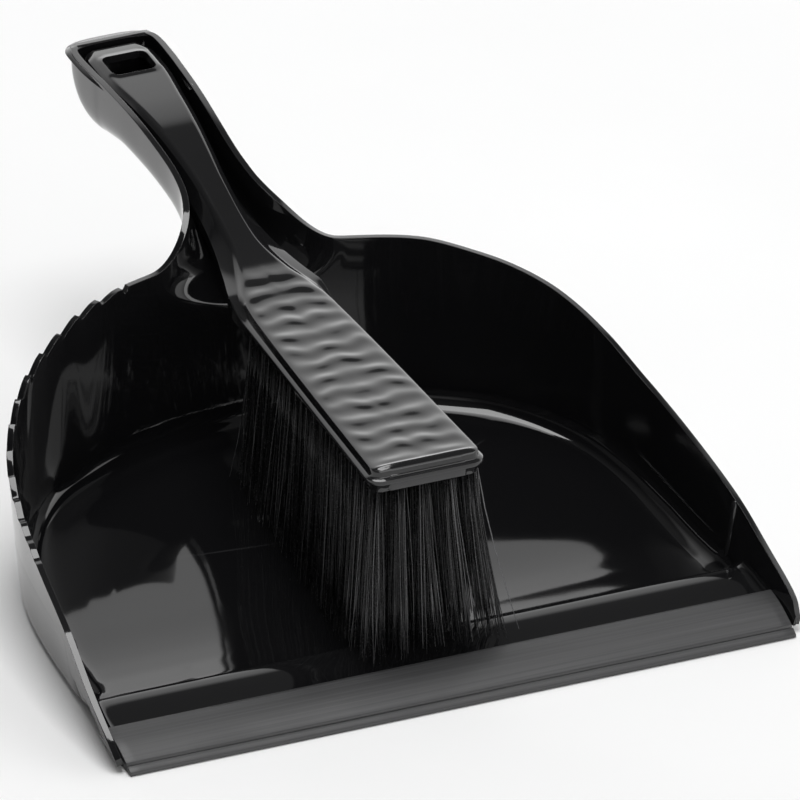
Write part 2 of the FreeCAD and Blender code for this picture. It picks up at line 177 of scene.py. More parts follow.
def add_sheet(work: bmesh.types.BMesh, columns: int, rows: int, place: Callable[[int, int], Vector],
              ) -> list[bmesh.types.BMVert]:
    """Add a grid of quads and move its points to where a surface says.

    Args:
        work: Mesh to add to.
        columns: Number of points along.
        rows: Number of points across.
        place: Gives the point for a column and a row, in metres.

    Returns:
        The new vertices, row by row.
    """
    made = bmesh.ops.create_grid(work, x_segments=columns - 1, y_segments=rows - 1, size=1.0)
    verts = made["verts"]
    verts.sort(key=lambda v: (round(v.co.y, 6), round(v.co.x, 6)))
    for index, vert in enumerate(verts):
        vert.co = place(index % columns, index // columns)
    return verts


def store_mesh(work: bmesh.types.BMesh, name: str) -> bpy.types.Object:
    """Store a mesh as a new object at the origin.

    Args:
        work: Mesh that is used up.
        name: Name of the piece.

    Returns:
        The new object.
    """
    mesh = bpy.data.meshes.new(name)
    work.to_mesh(mesh)
    work.free()
    piece = bpy.data.objects.new(name, mesh)
    bpy.context.scene.collection.objects.link(piece)
    return piece


def finish_mesh(work: bmesh.types.BMesh, name: str, merge: float = 1e-5) -> bpy.types.Object:
    """Weld a mesh, turn its faces one way, shade it smoothly and store it.

    Args:
        work: Mesh that is used up.
        name: Name of the piece.
        merge: Distance under which points are welded, in metres.

    Returns:
        The new object.
    """
    bmesh.ops.remove_doubles(work, verts=work.verts, dist=merge)
    bmesh.ops.dissolve_degenerate(work, edges=work.edges, dist=merge)
    bmesh.ops.recalc_face_normals(work, faces=work.faces)
    for face in work.faces:
        face.smooth = True
    return store_mesh(work, name)


def thicken(piece: bpy.types.Object, thickness: float, inward: bool, even: bool = True) -> None:
    """Give a sheet its wall.

    Args:
        piece: Sheet whose faces point outwards.
        thickness: Wall in metres.
        inward: True to grow the wall behind the faces, False to grow it in front.
        even: True to keep the wall equally thick round sharp turns.
    """
    wall = piece.modifiers.new("wall", "SOLIDIFY")
    wall.thickness = thickness
    wall.offset = -1.0 if inward else 1.0
    wall.use_even_offset = even
    wall.use_quality_normals = True


def round_edges(piece: bpy.types.Object, width: float, degrees: float, segments: int = 2) -> None:
    """Round every edge that turns by more than an angle.

    Args:
        piece: Piece to round.
        width: Width of the rounding in metres.
        degrees: Smallest turn that counts as an edge.
        segments: Steps across the rounding.
    """
    rounding = piece.modifiers.new("rounding", "BEVEL")
    rounding.width = width
    rounding.segments = segments
    rounding.limit_method = "ANGLE"
    rounding.angle_limit = math.radians(degrees)
    rounding.use_clamp_overlap = True
    rounding.harden_normals = False


def smooth_surface(piece: bpy.types.Object, levels: int) -> None:
    """Subdivide a piece the same in the viewport and in the render.

    Args:
        piece: Piece to smooth.
        levels: Number of subdivisions.
    """
    surface = piece.modifiers.new("surface", "SUBSURF")
    surface.levels = levels
    surface.render_levels = levels


# ---------------------------------------------------------------- finishes


NOISE_SPAN = (0.3, 0.7)  # the part of a noise's range that nearly all its values lie in


class Nodes:
    """Short way to build a material's node tree."""

    def __init__(self, name: str) -> None:
        """Start a material with its shader and its object coordinates.

        Args:
            name: Name of the material.
        """
        self.material = bpy.data.materials.new(name)
        self.material.use_nodes = True
        self.tree = self.material.node_tree
        self.shader = self.tree.nodes["Principled BSDF"]
        self.coords = self.add("ShaderNodeTexCoord")

    def add(self, kind: str, **values: object) -> bpy.types.Node:
        """Add a node and set its properties or its input values.

        Args:
            kind: Type of the node.
            **values: Input values, and properties where no input has that name.

        Returns:
            The new node.
        """
        node = self.tree.nodes.new(kind)
        for key, value in values.items():
            if key in node.inputs.keys():
                node.inputs[key].default_value = value
            else:
                setattr(node, key, value)
        return node

    def join(self, source: bpy.types.NodeSocket, target: bpy.types.NodeSocket) -> None:
        """Link one socket to another."""
        self.tree.links.new(source, target)

    def stretched(self, scale: Point) -> bpy.types.NodeSocket:
        """Object coordinates stretched along the axes.

        Args:
            scale: Factor along each axis.

        Returns:
            Socket of the stretched coordinates.
        """
        mapping = self.add("ShaderNodeMapping")
        mapping.inputs["Scale"].default_value = scale
        self.join(self.coords.outputs["Object"], mapping.inputs["Vector"])
        return mapping.outputs["Vector"]

    def mottle(self, vector: bpy.types.NodeSocket, scale: float, detail: float) -> bpy.types.NodeSocket:
        """Soft noise over a coordinate.

        Args:
            vector: Socket of the coordinates.
            scale: Fineness of the noise.
            detail: Number of finer layers in it.

        Returns:
            Socket of the noise, around 0.5.
        """
        cloud = self.add("ShaderNodeTexNoise", Scale=scale, Detail=detail, Roughness=0.55)
        self.join(vector, cloud.inputs["Vector"])
        return cloud.outputs["Fac"]

    def spread(self, value: bpy.types.NodeSocket, low: float, high: float) -> bpy.types.NodeSocket:
        """Map the middle of a noise onto a range.

        Args:
            value: Socket of the noise.
            low: Value where the noise is low.
            high: Value where the noise is high.

        Returns:
            Socket of the mapped value.
        """
        span = self.add("ShaderNodeMapRange")
        span.inputs["From Min"].default_value, span.inputs["From Max"].default_value = NOISE_SPAN
        span.inputs["To Min"].default_value = low
        span.inputs["To Max"].default_value = high
        self.join(value, span.inputs["Value"])
        return span.outputs["Result"]

    def tint(self, value: bpy.types.NodeSocket, dark: Point, light: Point, low: float, high: float) -> None:
        """Blend the base colour between two tones.

        Args:
            value: Socket that chooses the tone.
            dark: Tone below the low value.
            light: Tone above the high value.
            low: Value where the blend starts.
            high: Value where the blend ends.
        """
        ramp = self.add("ShaderNodeValToRGB")
        ramp.color_ramp.elements[0].position = low
        ramp.color_ramp.elements[0].color = (*dark, 1.0)
        ramp.color_ramp.elements[1].position = high
        ramp.color_ramp.elements[1].color = (*light, 1.0)
        self.join(value, ramp.inputs["Fac"])
        self.join(ramp.outputs["Color"], self.shader.inputs["Base Color"])

    def relief(self, layers: Sequence[tuple[bpy.types.NodeSocket, float, float]]) -> None:
        """Stack bump layers on the shader's normal.

        Args:
            layers: For each layer its height socket, its strength and its depth in metres.
        """
        last = None
        for height, strength, depth in layers:
            bump = self.add("ShaderNodeBump", Strength=strength, Distance=depth)
            self.join(height, bump.inputs["Height"])
            if last is not None:
                self.join(last.outputs["Normal"], bump.inputs["Normal"])
            last = bump
        self.join(last.outputs["Normal"], self.shader.inputs["Normal"])


@dataclass(frozen=True)
class GlossMoulding:
    """Polished black moulding: slow waves from shrinkage, fine handling scratches, and edges made paler by
    a painted highlight.
    """

    skin_grain: ClassVar[float] = 0.00002  # depth of the fine relief, in metres

    name: str
    dark: Point
    light: Point
    roughness: tuple[float, float]
    wave_depth: float

    def make(self) -> bpy.types.Material:
        """Build the material."""
        nodes = Nodes(self.name)
        nodes.shader.inputs["IOR"].default_value = 1.5
        nodes.shader.inputs["Coat Weight"].default_value = 0.25
        nodes.shader.inputs["Coat Roughness"].default_value = 0.06
        plain = nodes.coords.outputs["Object"]
        # Painted highlight: convex edges are tinted towards the light tone, standing in for the shine of a
        # lamp along them.
        painted_edge_highlight = nodes.add("ShaderNodeNewGeometry").outputs["Pointiness"]
        nodes.tint(painted_edge_highlight, self.dark, self.light, 0.49, 0.58)
        smear = nodes.mottle(plain, 22.0, 5.0)
        nodes.join(nodes.spread(smear, *self.roughness), nodes.shader.inputs["Roughness"])
        wave = nodes.mottle(plain, 9.0, 1.0)
        peel = nodes.mottle(plain, 260.0, 2.0)
        scratch = nodes.mottle(nodes.stretched((900.0, 60.0, 300.0)), 1.0, 3.0)
        nodes.relief(((wave, 0.5, self.wave_depth), (peel, 0.12, self.skin_grain),
                      (scratch, 0.05, self.skin_grain)))
        return nodes.material


@dataclass(frozen=True)
class SatinRubber:
    """Dark grey extruded rubber with drawn streaks along the run and a little dust."""

    name: str
    dark: Point
    light: Point
    roughness: tuple[float, float]

    def make(self) -> bpy.types.Material:
        """Build the material."""
        nodes = Nodes(self.name)
        nodes.shader.inputs["IOR"].default_value = 1.48
        plain = nodes.coords.outputs["Object"]
        streak = nodes.mottle(nodes.stretched((9.0, 1500.0, 1500.0)), 1.0, 5.0)
        nodes.tint(streak, self.dark, self.light, 0.35, 0.7)
        dust = nodes.mottle(plain, 40.0, 6.0)
        nodes.join(nodes.spread(dust, *self.roughness), nodes.shader.inputs["Roughness"])
        grain = nodes.mottle(plain, 1500.0, 3.0)
        nodes.relief(((streak, 0.12, 0.00003), (grain, 0.2, 0.00003)))
        return nodes.material


@dataclass(frozen=True)
class Filament:
    """Black synthetic bristle: each strand a little different, a few painted pale as a painted highlight
    that grows towards the cut tip.
    """

    name: str
    dark: Point
    light: Point
    roughness: tuple[float, float]

    def make(self) -> bpy.types.Material:
        """Build the material."""
        nodes = Nodes(self.name)
        nodes.shader.inputs["IOR"].default_value = 1.53
        # Painted highlight: the strand attribute lifts a few strands towards the light tone, standing in
        # for lamp reflections on the glossy filaments.
        shade = nodes.add("ShaderNodeAttribute", attribute_name="strand").outputs["Fac"]
        nodes.tint(shade, self.dark, self.light, 0.0, 1.0)
        plain = nodes.coords.outputs["Object"]
        nodes.join(nodes.spread(nodes.mottle(plain, 900.0, 2.0), *self.roughness),
                   nodes.shader.inputs["Roughness"])
        nodes.relief(((nodes.mottle(nodes.stretched((3000.0, 3000.0, 250.0)), 1.0, 2.0), 0.3, 0.00003),))
        return nodes.material


@dataclass(frozen=True)
class DrawnWire:
    """Plain flat wire of the hidden anchors: drawn lines and a dull bright metal."""

    name: str
    dark: Point
    light: Point
    roughness: tuple[float, float]

    def make(self) -> bpy.types.Material:
        """Build the material."""
        nodes = Nodes(self.name)
        nodes.shader.inputs["Metallic"].default_value = 1.0
        lines = nodes.mottle(nodes.stretched((200.0, 3000.0, 3000.0)), 1.0, 3.0)
        nodes.tint(lines, self.dark, self.light, 0.3, 0.7)
        nodes.join(nodes.spread(lines, *self.roughness), nodes.shader.inputs["Roughness"])
        nodes.relief(((lines, 0.3, 0.00002),))
        return nodes.material


# The second tone of each gloss finish is the painted edge highlight.
PAN_FINISH = GlossMoulding("pan_gloss_black", (0.0045, 0.0045, 0.005), (0.02, 0.02, 0.021),
                           (0.025, 0.07), 0.0003)
BRUSH_FINISH = GlossMoulding("brush_gloss_black", (0.006, 0.006, 0.0065), (0.022, 0.022, 0.023),
                             (0.05, 0.12), 0.0002)
LIP_FINISH = SatinRubber("lip_grey_rubber", (0.034, 0.034, 0.035), (0.055, 0.055, 0.057), (0.36, 0.5))
# The bristles' light tone is the painted highlight of the brightest strands.
BRISTLE_FINISH = Filament("bristle_black", (0.004, 0.004, 0.0045), (0.2, 0.2, 0.205), (0.18, 0.3))
WIRE_FINISH = DrawnWire("anchor_wire", (0.42, 0.42, 0.43), (0.66, 0.66, 0.67), (0.3, 0.5))


# ---------------------------------------------------------------- pan


@dataclass
class PanShell:
    """The pan: one sheet for tub and trough handle, thickened outwards, with flange, foot and tongue.

    All sizes are in millimetres. The sheet is the pan's inner face. The tables hold:
        foot, top: (x, y) of the outer skin at the ground and at tub_height, from the front
            corner round to the middle of the back.
        rim: (y, height of the rim).
        mouth: Lowest height, side height and roundness of the opening into the handle.
        trough: (y, half width, lowest height, side height, roundness) of the handle.
    """

    wall: float = 2.2
    skin_gap: float = 0.12
    floor: float = 2.2
    foot_radius: float = 8.0
    sill_radius: float = 3.0
    crease: float = 0.01
    radius_start: float = -108.0
    radius_run: float = 8.0
    tub_height: float = 85.0
    tub_steps: int = 128
    seat: float = -128.1
    ridge: float = -111.6
    ridge_high: float = 7.4
    front_low: float = 2.0
    fan_centre: float = -40.0
    comb_pitch: float = 10.0
    comb_depth: float = 2.3
    comb_teeth: int = 13
    comb_start: float = 42.0
    comb_fade: float = 0.35
    mouth_half: float = 34.0
    mouth_corner: float = 74.0
    mouth_steps: int = 8
    flare_end: float = 42.0
    flare_steps: int = 8
    handle_steps: int = 42
    handle_draft: float = 0.02
    heel_shift: float = 120.0
    heel_start: float = 139.0
    heel_bend: float = 0.09
    end_high: float = 96.5
    flange_start: float = 104.0
    flange_half: float = 16.5
    flange_bend: float = 138.5
    flange_inner_run: float = 4.4
    flange_outer_run: float = 10.5
    flange_squareness: float = 0.62
    flange_rows: int = 5
    flange_thick: float = 2.0
    skirt_front: float = -102.5
    skirt_levels: tuple[float, ...] = (26.0, 18.0, 11.0, 6.5)
    skirt_turns: tuple[float, ...] = (20, 45, 70, 90)
    skirt_radius: float = 3.6
    skirt_thick: float = 1.8
    skirt_steps: int = 110
    tongue_size: Point = (229.0, 10.6, 1.7)
    tongue_back: float = 4.4
    tongue_high: float = 2.9
    foot: tuple[Point, ...] = (
        (117.6, -149), (114.6, -122), (112.4, -98), (110.0, -66), (106.5, -42), (100.5, -22),
        (91.5, -5.5), (79.5, 7.5), (64.5, 17), (46, 25.5), (24, 30.5), (0, 31.8))
    top: tuple[Point, ...] = (
        (146, -149), (134.5, -122), (125.5, -98), (118, -66), (113.5, -42), (107.5, -20),
        (96.5, -3.8), (83, 8.8), (66.8, 19), (47.8, 28.2), (25, 33.2), (0, 34.4))
    rim: tuple[Point, ...] = (
        (-145, 2.6), (-144, 5.2), (-142.2, 7.8), (-139, 10.0), (-133, 12.6), (-121.7, 17),
        (-99, 26.4), (-69, 34.2), (-40, 41.6), (-22, 48.8), (-4.3, 59), (11.5, 67.1), (21, 71.6),
        (29, 72.9), (32.5, 78), (38.6, 83.6), (48, 87.3), (64.5, 91), (103, 96), (120, 96.5), (150, 96.5))
    mouth: Point = (51.0, 67.6, 1.5)
    trough: tuple[Point, ...] = (
        (31, 27, 51.3, 72, 1.6), (38.6, 18.6, 58.5, 75, 1.7), (46, 15.0, 64.5, 77, 1.9),
        (55, 13.0, 69.5, 80, 2.1), (66, 12.4, 72.6, 83, 2.5), (85, 13.0, 75.4, 86, 2.8),
        (103, 14.0, 76.0, 87, 2.7), (119, 14.8, 74.0, 86.5, 2.9), (129, 15.2, 73.0, 86, 3.1),
        (136, 15.4, 75.5, 86.5, 3.3), (140.6, 15.3, 80.5, 89, 3.3), (144.2, 14.8, 87.5, 93, 3.2))
    floor_shares: tuple[float, ...] = (0.0, 0.3, 0.6, 0.85, 0.96)
    foot_angles: tuple[float, ...] = (0.0, 18.0, 36.0, 54.0, 72.0, 90.0)
    wall_shares: tuple[float, ...] = (0.12, 0.27, 0.42, 0.57, 0.71, 0.83, 0.925, 0.965, 1.0)

    def rim_height(self, y: float) -> float:
        """Height of the rim at a place along the set."""
        return by_key(self.rim, y)[0]

    def skin(self, place: float, z: float) -> Vector:
        """Point of the outer skin.

        Args:
            place: Place round the half outline, 0 at the front corner and 1 at the back.
            z: Height.

        Returns:
            Point in millimetres.
        """
        low = through(self.foot, place)
        high = through(self.top, place)
        share = z / self.tub_height
        return Vector((low[0] + (high[0] - low[0]) * share, low[1] + (high[1] - low[1]) * share, z))

    def inward(self, place: float, z: float) -> Vector:
        """Horizontal direction into the tub.

        Args:
            place: Place round the half outline.
            z: Height.

        Returns:
            Direction of length 1.
        """
        step = 0.004
        after = self.skin(min(place + step, 1.0), z)
        before = self.skin(max(place - step, 0.0), z)
        run = after - before
        if place >= 1.0 - step:
            return Vector((0, -1, 0))
        return Vector((-run.y, run.x, 0)).normalized()

    def inner(self, place: float, z: float) -> Vector:
        """Point of the inner face of the wall."""
        return self.skin(place, z) + self.inward(place, z) * self.wall

    def sill_height(self, y: float) -> float:
        """Height of the floor's upper face, with the sill's ridge.

        Args:
            y: Place along the set.

        Returns:
            Height in millimetres.
        """
        knots = ((self.seat - 5, 4.9), (self.seat, 5.0), (self.ridge - 4, 7.1),
                 (self.ridge, self.ridge_high), (self.ridge + 2.2, 6.6), (self.ridge + 5.0, 3.4),
                 (self.ridge + 7.5, self.floor), (0, self.floor))
        return by_key(knots, y)[0] + floor_rise(y)

    def find_place(self, value: float, axis: int, z: float) -> float:
        """Place round the outline where the inner face reaches a coordinate, by bisection.

        Args:
            value: The coordinate.
            axis: 0 for x, which falls along the outline, 1 for y, which rises.
            z: Height at which the inner face is followed.

        Returns:
            Place round the half outline.
        """
        low, high = 0.0, 1.0
        rising = axis == 1
        for _ in range(40):
            middle = (low + high) / 2
            here = self.inner(middle, z)[axis]
            if (here < value) == rising:
                low = middle
            else:
                high = middle
        return (low + high) / 2

    def stations(self) -> list[float]:
        """Places round the half outline, dense along the sill and the comb, up to the mouth's corner."""
        front = (-144.9, -143.6, -142, -140, -137, -133.5, -130.5, self.seat, -126.5, -122, -118,
                 -115.5, -113.6, self.ridge, -110.4, -109.4, -108, -106.6, -105.4, -104, -101)
        sill_level = 5.0
        places = [self.find_place(y, 1, sill_level) for y in front]
        corner = self.find_place(self.mouth_half, 0, self.mouth_corner)
        last = places[-1]
        for index in range(1, self.tub_steps + 1):
            places.append(last + (corner - last) * index / self.tub_steps)
        return places

    def spine(self, y: float) -> Vector:
        """Middle of the floor from which a station's row starts."""
        y_here = min(y, self.fan_centre)
        return Vector((0, y_here, self.sill_height(y_here)))

    def column(self, place: float, top: float, cut: int) -> list[Vector]:
        """Points of one station, from the middle of the floor to the top edge.

        Args:
            place: Place round the half outline.
            top: Height of the edge at this station.
            cut: Number of upper rows to leave out.

        Returns:
            Points in millimetres.
        """
        low_wall = 10.0
        sample = self.inner(place, low_wall)
        ahead = sample.y < self.seat - 0.2
        level = self.front_low if ahead else self.sill_height(sample.y)
        spread = clamped((sample.y - self.radius_start) / self.radius_run)
        radius = self.crease if ahead else self.sill_radius + (self.foot_radius - self.sill_radius) * spread
        start_wall = level + (self.sill_radius if ahead else radius)
        points = []
        inset = self.inner(place, start_wall) + self.inward(place, start_wall) * radius
        inset.z = level
        spine = self.spine(inset.y)
        for share in self.floor_shares:
            flat = spine.lerp(inset, share)
            flat.z = self.sill_height(flat.y)
            points.append(inset.copy() if ahead else flat)
        for degrees in self.foot_angles:
            angle = math.radians(degrees)
            if ahead:
                z = level + self.sill_radius * degrees / 90.0
                points.append(self.inner(place, z))
                continue
            z = level + radius * (1 - math.cos(angle))
            base = self.inner(place, z)
            points.append(base + self.inward(place, z) * radius * (1 - math.sin(angle)))
        kept = self.wall_shares[: len(self.wall_shares) - cut]
        for share in kept:
            z = start_wall + (top - start_wall) * share / kept[-1]
            points.append(self.inner(place, max(z, start_wall * 0.999)))
        return points

    def mouth_height(self, across: float) -> float:
        """Height of the lower edge of the trough's mouth.

        Args:
            across: Share of the mouth's half width.

        Returns:
            Height in millimetres.
        """
        low, side, roundness = self.mouth
        low += self.wall
        drop = (1 - abs(across) ** roundness) ** (1 / roundness)
        return side - (side - low) * drop

    def half_sheets(self, work: bmesh.types.BMesh, side: Side) -> list[Vector]:
        """Add one half of the tub.

        Args:
            work: Mesh to add to.
            side: Which half. The left one gets the comb.

        Returns:
            Points of the half's mouth edge, rim first.
        """
        half_height = 40.0
        places = self.stations()
        columns = []
        for place in places:
            y = self.inner(place, half_height).y
            rim = self.rim_height(y)
            rim = self.rim_height(self.inner(place, rim).y)
            columns.append(self.column(place, rim, 0))
        if side is Side.LEFT:
            self.cut_comb(columns)
        flip = side.value * MM

        def tub_point(along: int, up: int) -> Vector:
            """Point of the tub wall and floor."""
            point = columns[along][up]
            return Vector((point.x * flip, point.y * MM, point.z * MM))

        add_sheet(work, len(columns), len(columns[0]), tub_point)
        mouth = self.mouth_columns(places[-1])
        mouth[0] = columns[-1][: len(mouth[0])]

        def mouth_point(along: int, up: int) -> Vector:
            """Point of the wall under the mouth."""
            point = mouth[along][up]
            return Vector((point.x * flip, point.y * MM, point.z * MM))

        add_sheet(work, len(mouth), len(mouth[0]), mouth_point)
        edge = [columns[-1][-1], columns[-1][-2]] + [points[-1] for points in mouth]
        return [Vector((p.x * side.value, p.y, p.z)) for p in edge]

    def mouth_columns(self, corner: float) -> list[list[Vector]]:
        """Columns of wall under the mouth, from its corner to the middle line.

        Args:
            corner: Place of the mouth's corner round the half outline.

        Returns:
            Points of each column, from the floor up.
        """
        mouth_level = 60.0
        columns = []
        for index in range(self.mouth_steps + 1):
            across = math.cos(math.pi / 2 * index / self.mouth_steps)
            place = corner
            if 0 < index < self.mouth_steps:
                place = self.find_place(self.mouth_half * across, 0, mouth_level)
            if index == self.mouth_steps:
                place = 1.0
            columns.append(self.column(place, self.mouth_height(across), 2))
        return columns

    def cut_comb(self, columns: list[list[Vector]]) -> None:
        """Lower the top rows into saw teeth along the left rim.

        Args:
            columns: Points of each station. Their three highest rows are moved.
        """
        rows_down = (1.0, 0.6, 0.15)
        travelled = 0.0
        last = None
        for points in reversed(columns):
            edge = points[-1].copy()
            if edge.x < self.comb_start:
                continue
            if last is not None:
                travelled += (edge - last).length
            last = edge
            tooth = travelled / self.comb_pitch
            if tooth >= self.comb_teeth:
                continue
            phase = tooth - int(tooth)
            depth = self.comb_depth * self.saw(phase)
            fade = min(1.0, max(self.comb_fade, (self.comb_teeth - tooth) / 3))
            for row, share in enumerate(rows_down, start=1):
                points[-row].z -= depth * fade * share

    @staticmethod
    def saw(phase: float) -> float:
        """Depth of the rim through one tooth: a steep hook, a round crest, a long hollow.

        Args:
            phase: Share of the way through the tooth.

        Returns:
            Share of the comb's depth.
        """
        hook_end, crest_end, crest_depth, hollow_power = 0.12, 0.32, 0.05, 1.3
        if phase < hook_end:
            return 1.0 - (1.0 - crest_depth) * phase / hook_end
        if phase < crest_end:
            return crest_depth
        return crest_depth + (1.0 - crest_depth) * ((phase - crest_end) / (1.0 - crest_end)) ** hollow_power

    def handle_sheet(self, work: bmesh.types.BMesh, left: list[Vector], right: list[Vector]) -> None:
        """Add the trough handle, from the mouth edge to its closed heel.

        Args:
            work: Mesh to add to.
            left: Mouth edge of the left half, rim first.
            right: Mouth edge of the right half, rim first.
        """
        first = left + list(reversed(right))[1:]
        shares = []
        for index in range(-self.mouth_steps, self.mouth_steps + 1):
            shares.append(math.sin(math.pi / 2 * index / self.mouth_steps))
        sections = [first] + self.flare(first, shares)
        crowding = 1.25
        start = self.flare_end
        end = self.trough[-1][0] - self.wall
        for index in range(self.handle_steps + 1):
            y = start + (end - start) * (1 - (1 - index / self.handle_steps) ** crowding)
            sections.append(self.handle_section(y, shares))
        last = self.handle_section(end, shares)
        for y_more, rise in ((0.6, 0.45), (0.9, 0.8), (1.0, 1.0)):
            sections.append([Vector((p.x, p.y + y_more, p.z + (self.end_high - p.z) * rise)) for p in last])

        def place(along: int, across: int) -> Vector:
            """Point of the trough's inner face."""
            return sections[along][across] * MM

        add_sheet(work, len(sections), len(first), place)

    def flare(self, first: list[Vector], shares: list[float]) -> list[list[Vector]]:
        """Sections that turn the tub's wall smoothly into the trough.

        Args:
            first: The mouth's edge.
            shares: Shares of the half width at which a section has points.

        Returns:
            Sections between the mouth's edge and the trough's first section.
        """
        last = self.handle_section(self.flare_end, shares)
        beyond = self.handle_section(self.flare_end + 1.0, shares)
        middle = Vector((0, first[len(first) // 2].y + 0.6, self.mouth[1] + 5.0))
        sections = []
        for index in range(1, self.flare_steps):
            weights = cubic_weights(index / self.flare_steps)
            points = []
            for begin, end, after in zip(first, last, beyond):
                reach = (end - begin).length
                leave = (middle - begin).normalized() * reach
                arrive = (after - end).normalized() * reach
                points.append(begin * weights[0] + leave * weights[1]
                              + end * weights[2] + arrive * weights[3])
            sections.append(points)
        return sections

    def handle_section(self, y: float, shares: list[float]) -> list[Vector]:
        """Points of one cross-section of the trough's inner face.

        Args:
            y: Place along the set.
            shares: Shares of the half width at which the section has points.

        Returns:
            Points in millimetres, left rim to right rim.
        """
        shift = self.wall if y > self.heel_shift else 0.0
        half, low, side, roundness = by_key(self.trough, y + shift)
        half -= self.wall
        low += self.wall
        rim = self.rim_height(y)
        round_plan = max(0.0, y - self.heel_start)
        half -= self.heel_bend * round_plan**2
        points = []
        draft = self.handle_draft
        upper = half + draft * (rim - side)
        middle = (side + rim) / 2
        points.append(Vector((-upper, y, rim)))
        points.append(Vector((-half - draft * (middle - side), y, middle)))
        for share in shares:
            drop = (1 - min(abs(share), 1.0) ** roundness) ** (1 / roundness)
            points.append(Vector((half * share, y, side - (side - low) * drop)))
        points.append(Vector((half + draft * (middle - side), y, middle)))
        points.append(Vector((upper, y, rim)))
        return points

    def flange(self) -> bpy.types.Object:
        """Slightly domed flange round the open end of the handle."""
        work = bmesh.new()
        path = []
        straight = 16
        turn = 12
        bend = self.flange_bend
        rim_gap, start_width, grown_at = 0.2, 1.2, 0.8
        for index in range(straight + 1):
            share = index / straight
            y = self.flange_start + (bend - self.flange_start) * share
            half = by_key(self.trough, y + self.wall)[0] - self.wall + rim_gap
            grown = min(share / grown_at, 1.0)
            outer = half + start_width
            outer += (self.flange_half - outer) * grown**2 * (3 - 2 * grown)
            path.append((Vector((-half, y, 0)), Vector((-outer, y, 0))))
        inner_half = path[-1][0].x
        for index in range(1, turn + 1):
            angle = math.pi / 2 * index / turn
            squared = self.flange_squareness
            across = math.cos(angle) ** squared
            inner = Vector((inner_half * across,
                            bend + self.flange_inner_run * math.sin(angle) ** squared, 0))
            outer = Vector((-self.flange_half * across,
                            bend + self.flange_outer_run * math.sin(angle) ** (squared + 0.1), 0))
            path.append((inner, outer))
        path += [(Vector((-a.x, a.y, 0)), Vector((-b.x, b.y, 0))) for a, b in reversed(path[:-1])]

        def place(along: int, across: int) -> Vector:
            """Point of the flange's upper face.

            Args:
                along: Number of the point round the flange.
                across: Number of the point from the inner to the outer edge.

            Returns:
                Point in metres.
            """
            inner, outer = path[along]
            share = across / self.flange_rows
            point = inner.lerp(outer, share)
            drop = 1.5 * share**2 + 0.5 * (1 - share) ** 3
            return Vector((point.x * MM, point.y * MM, (self.end_high - 0.05 - drop) * MM))

        add_sheet(work, len(path), self.flange_rows + 1, place)
        piece = finish_mesh(work, "pan_end_flange")
        for polygon in piece.data.polygons:
            if polygon.normal.z < 0:
                piece.data.flip_normals()
                break
        thicken(piece, self.flange_thick * MM, True)
        round_edges(piece, 0.7 * MM, 40)
        smooth_surface(piece, 1)
        return piece

    def foot_skirt(self) -> bpy.types.Object:
        """Foot of the wall that stands on the ground round the climbing floor."""
        work = bmesh.new()
        start = self.find_place(self.skirt_front, 1, 2.0)
        steps = self.skirt_steps
        places = [start + (1.0 - start) * index / steps for index in range(steps + 1)]
        sides = [(-1, place) for place in places] + [(1, place) for place in reversed(places[:-1])]
        levels, turns, radius = self.skirt_levels, self.skirt_turns, self.skirt_radius
        ground_gap, wall_gap, under_run, end_tuck = 0.02, 0.06, 1.4, 1.6

        def place_point(along: int, down: int) -> Vector:
            """Point of the foot's outer face.

            Args:
                along: Number of the point round the foot.
                down: Number of the point from the wall down and under.

            Returns:
                Point in metres.
            """
            side, place = sides[along]
            edge = min(along, len(sides) - 1 - along)
            tuck = end_tuck * max(0.0, 1 - edge / 3) ** 2
            if down < len(levels):
                z = levels[down]
                inset = wall_gap
            elif down < len(levels) + len(turns):
                angle = math.radians(turns[down - len(levels)])
                z = radius * (1 - math.sin(angle)) + ground_gap
                inset = radius * (1 - math.cos(angle))
            else:
                z = ground_gap
                inset = radius + under_run
            point = self.skin(place, z) + self.inward(place, z) * (inset + tuck)
            return Vector((point.x * side, point.y, z)) * MM

        add_sheet(work, len(sides), len(levels) + len(turns) + 1, place_point)
        piece = finish_mesh(work, "pan_foot_skirt")
        outer = max(piece.data.polygons, key=lambda f: f.center.y)
        if outer.normal.y < 0:
            piece.data.flip_normals()
        thicken(piece, self.skirt_thick * MM, True, even=False)
        smooth_surface(piece, 1)
        return piece

    def tongue(self) -> bpy.types.Object:
        """Thin front edge of the floor inside the rubber lip."""
        wide, deep, thick = self.tongue_size
        work = bmesh.new()
        made = bmesh.ops.create_cube(work, size=1.0)
        for vert in made["verts"]:
            vert.co.x *= wide * MM
            vert.co.y = (self.seat - self.tongue_back + vert.co.y * deep) * MM
            vert.co.z = (self.tongue_high + vert.co.z * thick) * MM
        bmesh.ops.bevel(work, geom=work.edges[:], offset=0.3 * MM, segments=2, profile=0.5,
                        affect="EDGES", material=-1)
        return finish_mesh(work, "pan_tongue")

    def build(self) -> list[bpy.types.Object]:
        """Make every piece of the pan and dress it."""
        work = bmesh.new()
        left = self.half_sheets(work, Side.LEFT)
        right = self.half_sheets(work, Side.RIGHT)
        self.handle_sheet(work, left, right)
        weld, floor_below = 0.00004, 0.0025
        shell = finish_mesh(work, "pan_shell", weld)
        probe = max(shell.data.polygons, key=lambda f: f.area * (f.center.z < floor_below))
        if probe.normal.z > 0:
            shell.data.flip_normals()
        thicken(shell, (self.wall - self.skin_gap) * MM, False)
        round_edges(shell, 0.75 * MM, 42)
        smooth_surface(shell, 1)
        pieces = [shell, self.flange(), self.foot_skirt(), self.tongue()]
        finish = PAN_FINISH.make()
        for piece in pieces:
            piece.data.materials.append(finish)
            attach(piece, "pan")
            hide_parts("pan_body")
        return pieces


# ---------------------------------------------------------------- rubber lip


